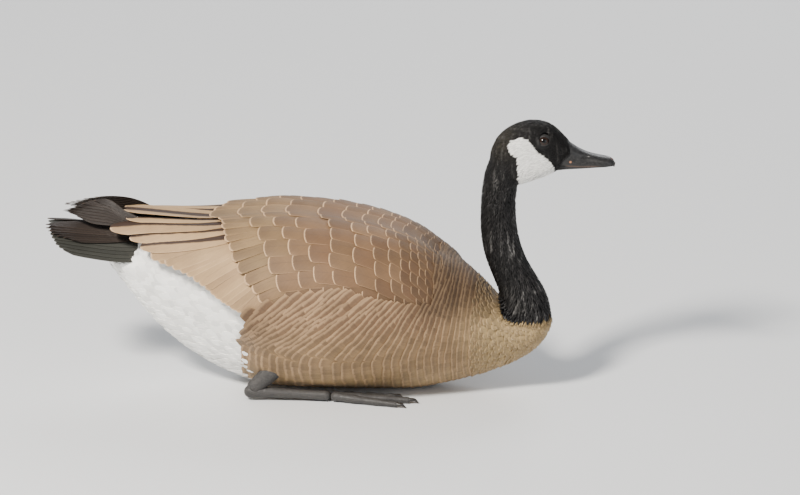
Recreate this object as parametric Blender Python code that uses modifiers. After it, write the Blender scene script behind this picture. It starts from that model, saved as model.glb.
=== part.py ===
"""A Canada goose resting on its belly, life size, as a still museum model.

Metres, +Z up. The head points to +X and the left wing is on +Y. The origin is
on the floor, in the middle of the flat of the belly.
"""

import math
import random

import bmesh
import bpy
from mathutils import Vector

# Driving sizes
FIT_GAP = 0.0003
VANE_THICKNESS = 0.0007

# The trunk as (x, value) stations from the tail end to the breast
TRUNK_TOP = (
    (-0.231, 0.140), (-0.1995, 0.152), (-0.1985, 0.170), (-0.140, 0.173), (-0.084, 0.178),
    (-0.040, 0.182), (0.000, 0.180), (0.040, 0.175), (0.075, 0.166), (0.109, 0.152),
    (0.131, 0.142), (0.150, 0.128), (0.171, 0.106), (0.190, 0.092), (0.215, 0.083), (0.2335, 0.076),
)
TRUNK_BOTTOM = (
    (-0.231, 0.128), (-0.210, 0.098), (-0.189, 0.071), (-0.165, 0.047), (-0.140, 0.029),
    (-0.110, 0.013), (-0.075, 0.002), (-0.045, -0.001), (0.085, -0.001), (0.120, 0.005),
    (0.150, 0.013), (0.180, 0.024), (0.205, 0.037), (0.222, 0.052), (0.2335, 0.070),
)
TRUNK_HALF_WIDTH = (
    (-0.231, 0.020), (-0.200, 0.032), (-0.160, 0.043), (-0.135, 0.052), (-0.107, 0.063),
    (-0.086, 0.073), (-0.070, 0.086), (-0.050, 0.0955), (-0.020, 0.1015), (0.005, 0.1015),
    (0.040, 0.0945), (0.080, 0.0795), (0.131, 0.0585), (0.160, 0.044), (0.185, 0.034),
    (0.205, 0.0295), (0.220, 0.0235), (0.229, 0.015), (0.2335, 0.005),
)
# Height at which the trunk and the folded wings are widest
WAIST = (
    (-0.235, 0.136), (-0.200, 0.130), (-0.160, 0.120), (-0.120, 0.108), (-0.080, 0.098),
    (-0.020, 0.090), (0.060, 0.085), (0.130, 0.078), (0.200, 0.068), (0.2335, 0.073),
)
UPPER_FULLNESS = 2.2
LOWER_FULLNESS = 1.75
TRUNK_AROUND = 28
TRUNK_PARTINGS = (-0.084, 0.150)
# Where the trunk's sections lie: runs of (first, last, count), and single ones near its ends and partings
TRUNK_RUNS = ((-0.231, -0.1995, 4), (-0.188, -0.095, 7), (-0.050, 0.138, 13), (0.162, 0.205, 5))
TRUNK_EXTRAS = (-0.1985, -0.077, -0.070, -0.062, 0.2125, 0.2195, 0.2250, 0.2295, 0.2335)

# The folded wings, outside the trunk
WING_RIDGE = (
    (-0.240, 0.1815), (-0.200, 0.1835), (-0.140, 0.1845), (-0.085, 0.190), (-0.050, 0.1932), (-0.020, 0.1925),
    (0.030, 0.187), (0.065, 0.1795), (0.088, 0.1710), (0.107, 0.1600), (0.126, 0.1472), (0.135, 0.1405),
)
WING_HALF_WIDTH = (
    (-0.240, 0.030), (-0.206, 0.042), (-0.184, 0.052), (-0.160, 0.062), (-0.135, 0.074),
    (-0.104, 0.089), (-0.082, 0.097), (-0.040, 0.1045), (0.000, 0.1055), (0.040, 0.0985),
    (0.080, 0.083), (0.107, 0.0715), (0.126, 0.0620), (0.135, 0.0580),
)
WING_LOWER_EDGE = (
    (-0.240, 0.176), (-0.206, 0.167), (-0.184, 0.157), (-0.160, 0.150), (-0.135, 0.139),
    (-0.104, 0.118), (-0.082, 0.108), (-0.040, 0.122), (0.017, 0.133), (0.045, 0.124),
    (0.080, 0.117), (0.107, 0.114), (0.126, 0.126),
)
WING_FULLNESS = 2.5
WING_INNER_EDGE = 0.0006
WING_THICKNESS = ((-0.236, 0.0028), (-0.200, 0.0035), (-0.170, 0.005), (-0.130, 0.014), (-0.080, 0.026))
WING_CORE_ENDS = (-0.192, 0.126)
WING_RINGS = 13
WING_AROUND = 7
WING_SAMPLES = 61
WING_STEP = 0.002

# The wing's feathers in tiers, from the rearmost to the shoulder. Each runs from its first tip to its last,
# given as (x, place round the wing), and bow moves its middle tips along x. Heading is in degrees, downwards.
WING_TIERS = (
    {"count": 7, "tips": ((-0.198, 0.99), (-0.094, 1.00)), "bow": 0.0, "heading": (4, 12),
     "length": (0.070, 0.050), "width": (0.0165, 0.0175), "rise": (0.0002, 0.0010)},
    {"count": 5, "tips": ((-0.186, 0.18), (-0.226, 0.90)), "bow": -0.020, "heading": (0, 2),
     "length": (0.090, 0.080), "width": (0.0165, 0.0170), "rise": (0.0012, 0.0008)},
    {"count": 7, "tips": ((-0.113, 0.32), (-0.079, 0.99)), "bow": -0.004, "heading": (0, 10),
     "length": (0.060, 0.050), "width": (0.0215, 0.0200), "rise": (0.0020, 0.0018)},
    {"count": 5, "tips": ((-0.128, 0.11), (-0.050, 0.90)), "bow": 0.0, "heading": (0, 8),
     "length": (0.060, 0.052), "width": (0.0290, 0.0300), "rise": (0.0028, 0.0024)},
    {"count": 5, "tips": ((-0.082, 0.10), (-0.020, 0.92)), "bow": 0.0, "heading": (0, 6),
     "length": (0.058, 0.050), "width": (0.0310, 0.0310), "rise": (0.0026, 0.0024)},
    {"count": 5, "tips": ((-0.040, 0.10), (0.010, 0.94)), "bow": 0.0, "heading": (0, 4),
     "length": (0.056, 0.048), "width": (0.0310, 0.0310), "rise": (0.0026, 0.0024)},
    {"count": 5, "tips": ((0.000, 0.10), (0.040, 0.93)), "bow": 0.0, "heading": (0, 0),
     "length": (0.052, 0.044), "width": (0.0290, 0.0280), "rise": (0.0024, 0.0022)},
    {"count": 5, "tips": ((0.036, 0.10), (0.066, 0.92)), "bow": 0.0, "heading": (0, -4),
     "length": (0.046, 0.038), "width": (0.0260, 0.0240), "rise": (0.0022, 0.0020)},
    {"count": 5, "tips": ((0.068, 0.10), (0.090, 0.92)), "bow": 0.0, "heading": (0, -6),
     "length": (0.040, 0.032), "width": (0.0220, 0.0200), "rise": (0.0020, 0.0018)},
)
VANE_ROOT_DEPTH = 0.0022
VANE_SHINGLE = 0.0007
VANE_UNEVENNESS = 0.04
# Half width of a feather along its length, as shares of its length and of its full half width
VANE_OUTLINE = ((0.0, 0.65), (0.80, 1.0), (1.0, 0.60))
VANE_TIP_POINT = 0.05
SEED = 7
GROOVE_DEPTH = 0.006
GROOVE_WIDTH = 0.016

# The neck from the head down: x, z and half thickness
NECK_LINE = (
    (0.1920, 0.262, 0.0195), (0.1815, 0.236, 0.0190), (0.1772, 0.210, 0.0182), (0.1770, 0.186, 0.0188),
    (0.1808, 0.158, 0.0196), (0.1890, 0.135, 0.0198), (0.1975, 0.117, 0.0212), (0.2035, 0.102, 0.0238),
    (0.2068, 0.086, 0.0258), (0.2050, 0.068, 0.0270), (0.196, 0.056, 0.026),
)
NECK_FLATNESS = 0.94
NECK_PARTING = 4.6
NECK_AROUND = 18
NECK_RINGS = 10
NECK_STEP = 0.05

# The head as (x, value) stations from the nape to the bill
HEAD_TOP = (
    (0.1690, 0.262), (0.1735, 0.274), (0.1800, 0.2830), (0.1918, 0.2915), (0.2024, 0.2960),
    (0.2130, 0.2982), (0.2266, 0.2966), (0.2372, 0.2906), (0.2445, 0.2831), (0.2494, 0.2775),
    (0.2525, 0.2725), (0.2545, 0.2690),
)
HEAD_BOTTOM = (
    (0.1690, 0.256), (0.1800, 0.240), (0.1900, 0.2305), (0.1988, 0.2275), (0.2150, 0.2326),
    (0.2266, 0.2372), (0.2372, 0.2425), (0.2445, 0.2490), (0.2494, 0.2565), (0.2525, 0.2605),
    (0.2545, 0.2640),
)
HEAD_HALF_WIDTH = (
    (0.1690, 0.0060), (0.1735, 0.0125), (0.1800, 0.0165), (0.1918, 0.0205), (0.2050, 0.0222),
    (0.2180, 0.0218), (0.2310, 0.0188), (0.2400, 0.0160), (0.2460, 0.0142), (0.2500, 0.0132),
    (0.2545, 0.0110),
)
HEAD_WAIST = ((0.1690, 0.259), (0.1900, 0.262), (0.2100, 0.260), (0.2300, 0.262), (0.2545, 0.2665))
HEAD_FULLNESS = 2.2
HEAD_AROUND = 18
HEAD_RINGS = (0.1690, 0.2445, 12)
HEAD_END_RINGS = (0.1712, 0.2470, 0.2494, 0.2512, 0.2530, 0.2545)

# The bill as (x, value) stations from inside the head to the tip
CULMEN = (
    (0.2360, 0.2860), (0.2445, 0.2826), (0.2494, 0.2770), (0.2558, 0.2720), (0.2638, 0.2672),
    (0.2744, 0.2633), (0.2841, 0.2612), (0.2921, 0.2598), (0.2968, 0.2568), (0.2993, 0.2525),
)
BILL_HALF_WIDTH = (
    (0.2360, 0.0125), (0.2500, 0.0123), (0.2600, 0.0118), (0.2720, 0.0110), (0.2850, 0.0102),
    (0.2920, 0.0090), (0.2970, 0.0066), (0.2993, 0.0030),
)
MOUTH_LINE = ((0.2360, 0.2530), (0.2500, 0.2518), (0.2680, 0.2506), (0.2850, 0.2506), (0.2993, 0.2500))
JAW_LINE = ((0.2360, 0.2435), (0.2480, 0.2453), (0.2680, 0.2470), (0.2850, 0.2484), (0.2960, 0.2492))
MOUTH_GAP = 0.0007
JAW_END = 0.2955
JAW_NARROWER = 0.88
BILL_AROUND = 9
BILL_RINGS = (0.2360, 0.2920, 12)
BILL_TIP_RINGS = (0.2950, 0.2972, 0.2986, 0.2993)
JAW_RINGS = (0.2360, 0.2900, 9)
JAW_TIP_RINGS = (0.2930, JAW_END)
NOSTRIL = {"x": 0.2690, "z": 0.2608, "length": 0.0075, "height": 0.0026, "depth": 0.0035, "out": 0.78}

# Eyes
EYE_X = 0.2277
EYE_Z = 0.2825
EYE_RADIUS = 0.0061
EYE_PROUD = 0.0016
EYE_OUTWARD = Vector((0.10, 0.92, 0.36)).normalized()
LID_RADIUS = 0.0052
LID_THICKNESS = 0.0011
LID_BEHIND = 0.0024

# The tail, a closed fan like a roof, steep at its root and flatter at its tips. Turns are in degrees.
TAIL_PIVOT = -0.100
TAIL_ROOT = -0.1965
TAIL_RIDGE = ((-0.300, 0.1701), (-0.260, 0.1698), (-0.230, 0.1685), (-0.190, 0.1670))
TAIL_SLOPE = ((-0.275, 0.36), (-0.235, 0.72), (-0.200, 1.10))
TAIL_SPREAD = 14.2
TAIL_MIDDLE_REACH = 0.1960
TAIL_OUTER_REACH = 0.178
TAIL_CREASE = 0.004
TAIL_THICKNESS = 0.004
TAIL_CORE_LENGTH = 0.022
TAIL_CORE_DEPTH = 0.0004
TAIL_CORE_INSET = 0.004
TAIL_EDGE_INSET = 1.2
TAIL_CORE_AROUND = 7
TAIL_FEATHERS = 8
TAIL_FIRST_TURN = 2.2
TAIL_FEATHER_WIDTH = 0.0135
TAIL_SHINGLE = 0.0011

# The primaries come out between the rear ends of the wings in a narrow blade: x, y and z of its edges
BLADE_INNER = (
    (-0.278, 0.0100, 0.1905), (-0.262, 0.0060, 0.1965), (-0.2467, 0.0032, 0.1995),
    (-0.230, 0.0032, 0.1970), (-0.212, 0.0032, 0.1905), (-0.200, 0.0036, 0.1830),
)
BLADE_OUTER = (
    (-0.278, 0.0135, 0.1865), (-0.262, 0.0180, 0.1810), (-0.2467, 0.0210, 0.1780),
    (-0.240, 0.0150, 0.1787), (-0.231, 0.0082, 0.1812), (-0.214, 0.0075, 0.1815), (-0.200, 0.0068, 0.1805),
)
BLADE_THICKNESS = 0.0024
BLADE_CROWN = 0.0015
BLADE_CLEARANCE = 0.0011
BLADE_CORE_STATIONS = (-0.234, -0.222, -0.211, -0.2015, -0.1985, -0.1955, -0.1930, -0.1870)
BLADE_ROOT = (-0.2015, -0.1930)
BLADE_ROOT_ROUND = (0.09, 0.22)
# Each primary's tip along x, and its middle across the blade
PRIMARIES = ((-0.2600, 0.22), (-0.2720, 0.42), (-0.2765, 0.62), (-0.2690, 0.80))
PRIMARY_ROOT = -0.216
PRIMARY_HALF_WIDTH = 0.21
PRIMARY_SHINGLE = 0.0009

# Legs and feet, left side
ANKLE = Vector((-0.078, 0.060, 0.0095))
FOOT_JOINT = Vector((0.006, 0.058, 0.0062))
TIBIA_TOP = Vector((-0.034, 0.052, 0.052))
SHIN_BEND = Vector((0.010, -0.002, 0.010))
SHIN_RADII = (0.013, 0.0095, 0.0080)
HEEL = Vector((-0.006, 0.0, 0.0))
SHANK_RADII = (0.0070, 0.0052, 0.0058)
HIND_TOE = Vector((-0.014, -0.004, -0.001))
HIND_TOE_RADII = (0.0045, 0.0024)
TOE_ROOT_RADIUS = 0.0055
TOES = (
    {"tip": (0.073, 0.0455), "radius": 0.0044},
    {"tip": (0.090, 0.0580), "radius": 0.0048},
    {"tip": (0.078, 0.0720), "radius": 0.0044},
)
CLAW_LENGTH = 0.008
CLAW_ROOT = 0.003
CLAW_RADII = (0.0026, 0.0022, 0.0006)
CLAW_AROUND = 6
CLAW_POINT_HEIGHT = 0.0008
WEB_HEIGHT = (0.0008, 0.0030)
WEB_REACH = 0.90
WEB_HOLLOW = 0.010
LIMB_AROUND = 10

COLOURS = {
    "feather_brown": ((0.24, 0.165, 0.11), 0.75),
    "feather_tan": ((0.50, 0.40, 0.29), 0.8),
    "feather_white": ((0.86, 0.85, 0.82), 0.8),
    "feather_black": ((0.018, 0.016, 0.016), 0.6),
    "bill_black": ((0.02, 0.018, 0.017), 0.35),
    "eye_brown": ((0.03, 0.014, 0.008), 0.05),
    "leg_grey": ((0.035, 0.033, 0.032), 0.55),
}


def clear_scene():
    """Remove every object of the startup scene."""
    for obj in list(bpy.data.objects):
        bpy.data.objects.remove(obj, do_unlink=True)


def make_collections():
    """The goose's own collection, and one for cutters and pieces that are joined."""
    goose = bpy.data.collections.new("canada_goose")
    helpers = bpy.data.collections.new("helpers")
    for collection in (goose, helpers):
        bpy.context.scene.collection.children.link(collection)
    return goose, helpers


def make_materials():
    """One Principled material for each finish."""
    made = {}
    for name, (colour, roughness) in COLOURS.items():
        material = bpy.data.materials.new(name)
        material.use_nodes = True
        shader = material.node_tree.nodes["Principled BSDF"]
        shader.inputs["Base Color"].default_value = (*colour, 1.0)
        shader.inputs["Roughness"].default_value = roughness
        shader.inputs["Metallic"].default_value = 0.0
        made[name] = material
    return made


def smooth(stations, x):
    """The value at x on the monotone cubic curve through the (x, value) stations."""
    if x <= stations[0][0]:
        return stations[0][1]
    if x >= stations[-1][0]:
        return stations[-1][1]
    slopes = [(b[1] - a[1]) / (b[0] - a[0]) for a, b in zip(stations, stations[1:])]
    i = max(k for k in range(len(slopes)) if stations[k][0] <= x)

    def tangent(k):
        """The curve's slope at station k."""
        if k == 0:
            return slopes[0]
        if k == len(slopes):
            return slopes[-1]
        before, after = slopes[k - 1], slopes[k]
        return 0.0 if before * after <= 0 else 2 * before * after / (before + after)

    (x0, v0), (x1, v1) = stations[i], stations[i + 1]
    span = x1 - x0
    t = (x - x0) / span
    rise = t * t * (3 - 2 * t)
    return (
        v0 * (1 - rise) + v1 * rise
        + span * t * (1 - t) * ((1 - t) * tangent(i) - t * tangent(i + 1))
    )


def column(stations, index):
    """One column of a table of stations, beside the first column."""
    return tuple((row[0], row[index]) for row in stations)


def spread(start, end, count):
    """count numbers from start to end, evenly spaced."""
    return [start + (end - start) * k / (count - 1) for k in range(count)]


def power(value, exponent):
    """A signed power, for rounded box sections."""
    return math.copysign(abs(value) ** exponent, value)


def new_object(name, bm, collection, material=None):
    """An object made from a bmesh, which is freed."""
    mesh = bpy.data.meshes.new(name)
    bm.to_mesh(mesh)
    bm.free()
    obj = bpy.data.objects.new(name, mesh)
    collection.objects.link(obj)
    if material:
        mesh.materials.append(material)
    return obj


def loft(name, rings, collection, material=None):
    """A closed body over rings of points, with a flat cap at each end."""
    bm = bmesh.new()
    loops = [[bm.verts.new(point) for point in ring] for ring in rings]
    count = len(loops[0])
    for first, second in zip(loops, loops[1:]):
        for k in range(count):
            n = (k + 1) % count
            bm.faces.new((first[k], first[n], second[n], second[k]))
    bm.faces.new(loops[0])
    bm.faces.new(loops[-1])
    bmesh.ops.recalc_face_normals(bm, faces=bm.faces)
    return new_object(name, bm, collection, material)


def bake(obj):
    """Apply the object's modifiers."""
    bpy.context.view_layer.update()
    graph = bpy.context.evaluated_depsgraph_get()
    mesh = bpy.data.meshes.new_from_object(obj.evaluated_get(graph))
    obj.modifiers.clear()
    obj.data = mesh


def keep_largest(obj):
    """Keep only the closed surface that holds the most volume."""
    bm = bmesh.new()
    bm.from_mesh(obj.data)
    left = set(bm.faces)
    shells = []
    while left:
        shell = []
        waiting = [left.pop()]
        while waiting:
            face = waiting.pop()
            shell.append(face)
            for edge in face.edges:
                for other in edge.link_faces:
                    if other in left:
                        left.discard(other)
                        waiting.append(other)
        volume = 0.0
        for face in shell:
            corners = [vert.co for vert in face.verts]
            for a, b in zip(corners[1:], corners[2:]):
                volume += corners[0].dot(a.cross(b)) / 6
        shells.append((volume, shell))
    largest = set(max(shells, key=lambda item: item[0])[1])
    bmesh.ops.delete(bm, geom=[face for face in bm.faces if face not in largest], context="FACES")
    bm.to_mesh(obj.data)
    bm.free()


def outset(obj, distance):
    """Grow the object evenly by that distance."""
    bm = bmesh.new()
    bm.from_mesh(obj.data)
    bm.normal_update()
    moves = [vert.normal * distance * vert.calc_shell_factor() for vert in bm.verts]
    for vert, move in zip(bm.verts, moves):
        vert.co += move
    bm.to_mesh(obj.data)
    bm.free()


def grown(obj, collection):
    """A cutter in the shape of the object, larger by the fit gap."""
    cutter = bpy.data.objects.new(obj.name + "_outline", obj.data.copy())
    collection.objects.link(cutter)
    outset(cutter, FIT_GAP)
    return cutter


def cut(obj, *cutters):
    """Take the cutters away from the object, keeping its largest piece."""
    for cutter in cutters:
        modifier = obj.modifiers.new("cut", "BOOLEAN")
        modifier.operation = "DIFFERENCE"
        modifier.object = cutter
    bake(obj)
    keep_largest(obj)


def join(obj, pieces):
    """Fuse the pieces into the object in one union, and remove them."""
    together = bpy.data.collections.new("pieces")
    bpy.context.scene.collection.children.link(together)
    for piece in pieces:
        for holder in list(piece.users_collection):
            holder.objects.unlink(piece)
        together.objects.link(piece)
    modifier = obj.modifiers.new("join", "BOOLEAN")
    modifier.operation = "UNION"
    modifier.operand_type = "COLLECTION"
    modifier.collection = together
    bake(obj)
    for piece in pieces:
        bpy.data.objects.remove(piece, do_unlink=True)
    bpy.data.collections.remove(together)
    keep_largest(obj)


def smooth_shade(obj):
    """Shade round forms smooth and keep the crisp edges."""
    obj.data.shade_smooth()
    obj.data.set_sharp_from_angle(angle=math.radians(35))


def mirrored(obj, name, collection):
    """A copy of the object on the other side of the middle plane."""
    bm = bmesh.new()
    bm.from_mesh(obj.data)
    for vert in bm.verts:
        vert.co.y = -vert.co.y
    bmesh.ops.reverse_faces(bm, faces=bm.faces)
    copy = new_object(name, bm, collection, obj.data.materials[0])
    smooth_shade(copy)


def rest_on_floor(obj):
    """Press whatever hangs under the floor flat onto it."""
    for vert in obj.data.vertices:
        vert.co.z = max(vert.co.z, 0.0)


def round_ring(point, ahead, radius, around, flatness=1.0):
    """Points round a limb that runs ahead through the point."""
    up = ahead.cross(Vector((0.0, 1.0, 0.0))).normalized()
    side = up.cross(ahead).normalized()
    turns = [2 * math.pi * (n + 0.5) / around for n in range(around)]
    return [
        point + up * radius * math.cos(turn) + side * radius * flatness * math.sin(turn) for turn in turns
    ]


def tube(name, points, radii, collection, material=None, around=LIMB_AROUND):
    """A round limb of changing radius along a line of points."""
    rings = []
    for k, (point, radius) in enumerate(zip(points, radii)):
        ahead = points[min(k + 1, len(points) - 1)] - points[max(k - 1, 0)]
        rings.append(round_ring(point, ahead, radius, around))
    return loft(name, rings, collection, material)


def vane(place, collection):
    """One feather: place(share of its length, share of its half width) gives its middle surface."""
    bm = bmesh.new()
    bmesh.ops.create_grid(bm, x_segments=len(VANE_OUTLINE) - 1, y_segments=2, size=0.5)
    for vert in bm.verts:
        length_share, width_share = VANE_OUTLINE[round((vert.co.x + 0.5) * (len(VANE_OUTLINE) - 1))]
        side = 2 * vert.co.y
        if length_share == 1.0 and abs(side) < 0.1:
            length_share += VANE_TIP_POINT
        vert.co = place(length_share, side * width_share)
    bmesh.ops.triangulate(bm, faces=bm.faces)
    obj = new_object("vane", bm, collection)
    solidify = obj.modifiers.new("thickness", "SOLIDIFY")
    solidify.thickness = VANE_THICKNESS
    solidify.offset = 0.0
    bake(obj)
    bm = bmesh.new()
    bm.from_mesh(obj.data)
    bmesh.ops.recalc_face_normals(bm, faces=bm.faces)
    bm.to_mesh(obj.data)
    bm.free()
    return obj


def rounded_section(x, top, bottom, waist, half, upper, lower, around):
    """A closed section at x, as points round it from the top of the left side."""
    ring = []
    for k in range(around):
        turn = 2 * math.pi * (k + 0.5) / around
        high = math.cos(turn) > 0
        exponent = 2 / (upper if high else lower)
        reach = top - waist if high else waist - bottom
        y = half * power(math.sin(turn), exponent)
        z = waist + reach * power(math.cos(turn), exponent)
        ring.append(Vector((x, y, z)))
    return ring


def trunk_ring(x):
    """The trunk's section at x."""
    return rounded_section(
        x, smooth(TRUNK_TOP, x), smooth(TRUNK_BOTTOM, x), smooth(WAIST, x), smooth(TRUNK_HALF_WIDTH, x),
        UPPER_FULLNESS, LOWER_FULLNESS, TRUNK_AROUND,
    )


def trunk_stations():
    """The x of every section of the trunk, with both sides of its partings."""
    runs = [x for run in TRUNK_RUNS for x in spread(*run)]
    partings = [part + side * FIT_GAP / 2 for part in TRUNK_PARTINGS for side in (-1, 1)]
    return sorted((*runs, *TRUNK_EXTRAS, *partings))


def make_trunk(goose, helpers, materials):
    """The white rump, the brown body and the tan breast. Returns the trunk's grown outline, to cut with."""
    stations = trunk_stations()
    edges = (-1.0, *TRUNK_PARTINGS, 1.0)
    finishes = (("rump", "feather_white"), ("torso", "feather_brown"), ("breast", "feather_tan"))
    for (name, finish), low, high in zip(finishes, edges, edges[1:]):
        part = loft(name, [trunk_ring(x) for x in stations if low < x < high], goose, materials[finish])
        rest_on_floor(part)
        smooth_shade(part)
    outline = loft("trunk_outline", [trunk_ring(x) for x in stations], helpers)
    outset(outline, FIT_GAP)
    return outline


def wing_section(x):
    """The left wing's outline at x as (y, z) points, from the spine over the ridge and down the side."""
    waist = smooth(WAIST, x)
    half = smooth(WING_HALF_WIDTH, x)
    up = smooth(WING_RIDGE, x) - waist
    points = []
    for turn in spread(0.0, math.pi / 2, WING_SAMPLES):
        y = half * power(math.sin(turn), 2 / WING_FULLNESS)
        z = waist + up * power(math.cos(turn), 2 / WING_FULLNESS)
        points.append((y, z - GROOVE_DEPTH * math.exp(-((y / GROOVE_WIDTH) ** 2))))
    return points


def along(points, arc):
    """The point at that arc length along a line of (y, z) points."""
    walked = 0.0
    for (y0, z0), (y1, z1) in zip(points, points[1:]):
        step = math.hypot(y1 - y0, z1 - z0)
        if walked + step >= arc and step > 0:
            t = (arc - walked) / step
            return y0 + (y1 - y0) * t, z0 + (z1 - z0) * t
        walked += step
    return points[-1]


def wing_reach(x):
    """How far it is round the wing at x, from the spine to its lower edge."""
    walked = 0.0
    height = smooth(WING_LOWER_EDGE, x)
    points = wing_section(x)
    for (y0, z0), (y1, z1) in zip(points, points[1:]):
        if y1 > 1.5 * GROOVE_WIDTH and z1 <= height:
            break
        walked += math.hypot(y1 - y0, z1 - z0)
    return walked


def wing_point(x, round_it, lift=0.0):
    """A point on the left wing, lifted off it: round_it is 0 at the spine and 1 at the lower edge."""
    section = wing_section(x)
    arc = round_it * wing_reach(x)
    here = Vector((x, *along(section, arc)))
    lower = Vector((x, *along(section, arc + WING_STEP)))
    higher = Vector((x, *along(section, max(arc - WING_STEP, 0.0))))
    behind = Vector((x - WING_STEP, *along(wing_section(x - WING_STEP), arc)))
    before = Vector((x + WING_STEP, *along(wing_section(x + WING_STEP), arc)))
    down = lower - higher
    back = behind - before
    normal = down.cross(back).normalized()
    if normal.z + normal.y < 0:
        normal.negate()
    return here + normal * lift


def plate(name, point, stations, across, thickness, collection, material=None):
    """A curved plate under a surface: point(x, place, lift) gives its points."""
    rings = []
    for x in stations:
        depth = thickness(x)
        outer = [point(x, place, 0.0) for place in across]
        inner = [point(x, place, -depth) for place in across]
        rings.append(outer + inner[::-1])
    return loft(name, rings, collection, material)


def wing_plate_point(x, round_it, lift):
    """A point of the wing's plate, kept in its own section and on its own side."""
    point = wing_point(x, round_it, lift)
    return Vector((x, max(point.y, WING_INNER_EDGE), point.z))


def wing_vane(tip, heading, length, width, rise, collection):
    """One feather of the left wing, with its root sunk in the wing and its tip over the next tier."""
    slant = math.radians(heading)

    def place(along_it, across_it):
        """A point of the feather, from its place along and across."""
        run = (along_it - 1.0) * length
        side = across_it * width / 2
        x = tip[0] - run * math.cos(slant) + side * math.sin(slant)
        drop = run * math.sin(slant) + side * math.cos(slant)
        lift = -VANE_ROOT_DEPTH + (rise + VANE_ROOT_DEPTH) * along_it + VANE_SHINGLE * across_it
        point = wing_point(x, tip[1] + drop / wing_reach(x), lift)
        point.y = max(point.y, WING_INNER_EDGE + VANE_THICKNESS / 2)
        return point

    return vane(place, collection)


def between(pair, share):
    """The value at that share of the way between two."""
    return pair[0] + (pair[1] - pair[0]) * share


def wing_tier(tier, draw, collection):
    """One tier of the left wing's feathers."""
    made = []
    for k in range(tier["count"]):
        share = k / (tier["count"] - 1)
        uneven = 1 + VANE_UNEVENNESS * draw.uniform(-1, 1)
        x = between((tier["tips"][0][0], tier["tips"][1][0]), share) + tier["bow"] * 4 * share * (1 - share)
        tip = (x, between((tier["tips"][0][1], tier["tips"][1][1]), share))
        made.append(wing_vane(
            tip, between(tier["heading"], share), between(tier["length"], share) * uneven,
            between(tier["width"], share), between(tier["rise"], share), collection,
        ))
    return made


def make_wings(goose, helpers, trunk_outline, materials):
    """Both folded wings."""
    left = plate(
        "wing_left", wing_plate_point, spread(*WING_CORE_ENDS, WING_RINGS), spread(0.0, 1.0, WING_AROUND),
        lambda x: smooth(WING_THICKNESS, x), goose, materials["feather_brown"],
    )
    draw = random.Random(SEED)
    feathers = [feather for tier in WING_TIERS for feather in wing_tier(tier, draw, helpers)]
    join(left, feathers)
    cut(left, trunk_outline)
    smooth_shade(left)
    mirrored(left, "wing_right", goose)


def blade_point(x, across, lift):
    """A point of the left blade of primaries, across from its upper inner edge to its lower outer edge."""
    inner = Vector((x, smooth(column(BLADE_INNER, 1), x), smooth(column(BLADE_INNER, 2), x)))
    outer = Vector((x, smooth(column(BLADE_OUTER, 1), x), smooth(column(BLADE_OUTER, 2), x)))
    slant = outer - inner
    normal = Vector((0.0, -slant.z, slant.y)).normalized()
    free = inner + slant * across + normal * (lift + BLADE_CROWN * math.sin(math.pi * across))
    first, last = BLADE_ROOT_ROUND
    depth = smooth(WING_THICKNESS, x) + BLADE_CLEARANCE
    under = wing_point(x, first + (last - first) * across, lift - depth)
    under.x = x
    return free.lerp(under, smooth(((BLADE_ROOT[0], 0.0), (BLADE_ROOT[1], 1.0)), x))


def primary(tip, middle, collection):
    """One primary of the left wing, its tip at x and its middle at a place across the blade."""

    def place(along_it, across_it):
        """A point of the feather, from its place along and across."""
        x = PRIMARY_ROOT + (tip - PRIMARY_ROOT) * along_it
        lift = PRIMARY_SHINGLE * across_it - BLADE_THICKNESS / 2 * (1 - along_it) ** 3
        return blade_point(x, middle + PRIMARY_HALF_WIDTH * across_it, lift)

    return vane(place, collection)


def make_primaries(goose, helpers, materials):
    """The closed primaries of both wings."""
    left = plate(
        "primaries_left", blade_point, BLADE_CORE_STATIONS, spread(0.0, 1.0, 5),
        lambda x: BLADE_THICKNESS, goose, materials["feather_black"],
    )
    join(left, [primary(tip, middle, helpers) for tip, middle in PRIMARIES])
    smooth_shade(left)
    mirrored(left, "primaries_right", goose)


def tail_point(reach, turn, lift):
    """A point of the tail's roof, reach metres from its pivot and turned from the middle by turn degrees."""
    angle = math.radians(turn)
    x = TAIL_PIVOT - reach * math.cos(angle)
    y = reach * math.sin(angle)
    slope = smooth(TAIL_SLOPE, x)
    rounded = math.hypot(y, TAIL_CREASE)
    z = smooth(TAIL_RIDGE, x) - slope * (rounded - TAIL_CREASE)
    normal = Vector((0.0, slope * y / rounded, 1.0)).normalized()
    return Vector((x, y, z)) + normal * lift


def tail_tip(turn):
    """How far from the pivot the tail reaches at that turn from the middle."""
    return TAIL_MIDDLE_REACH + (TAIL_OUTER_REACH - TAIL_MIDDLE_REACH) * (turn / TAIL_SPREAD) ** 2


def tail_root(turn):
    """How far from the pivot the tail's root is at that turn from the middle."""
    return (TAIL_PIVOT - TAIL_ROOT) / math.cos(math.radians(turn))


def tail_vane(turn, side, collection):
    """One tail feather, turned from the middle by turn degrees, on the side +1 or -1."""
    root = tail_root(turn) + TAIL_CORE_INSET

    def place(along_it, across_it):
        """A point of the feather, from its place along and across."""
        reach = root + (tail_tip(turn) - root) * along_it
        spread_turn = math.degrees(across_it * TAIL_FEATHER_WIDTH / 2 / reach)
        outwards = side * across_it
        lift = TAIL_SHINGLE * outwards * min(1.0, 0.4 + along_it) - TAIL_THICKNESS / 2 * (1 - along_it) ** 2
        return tail_point(reach, side * turn + spread_turn, lift)

    return vane(place, collection)


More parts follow.
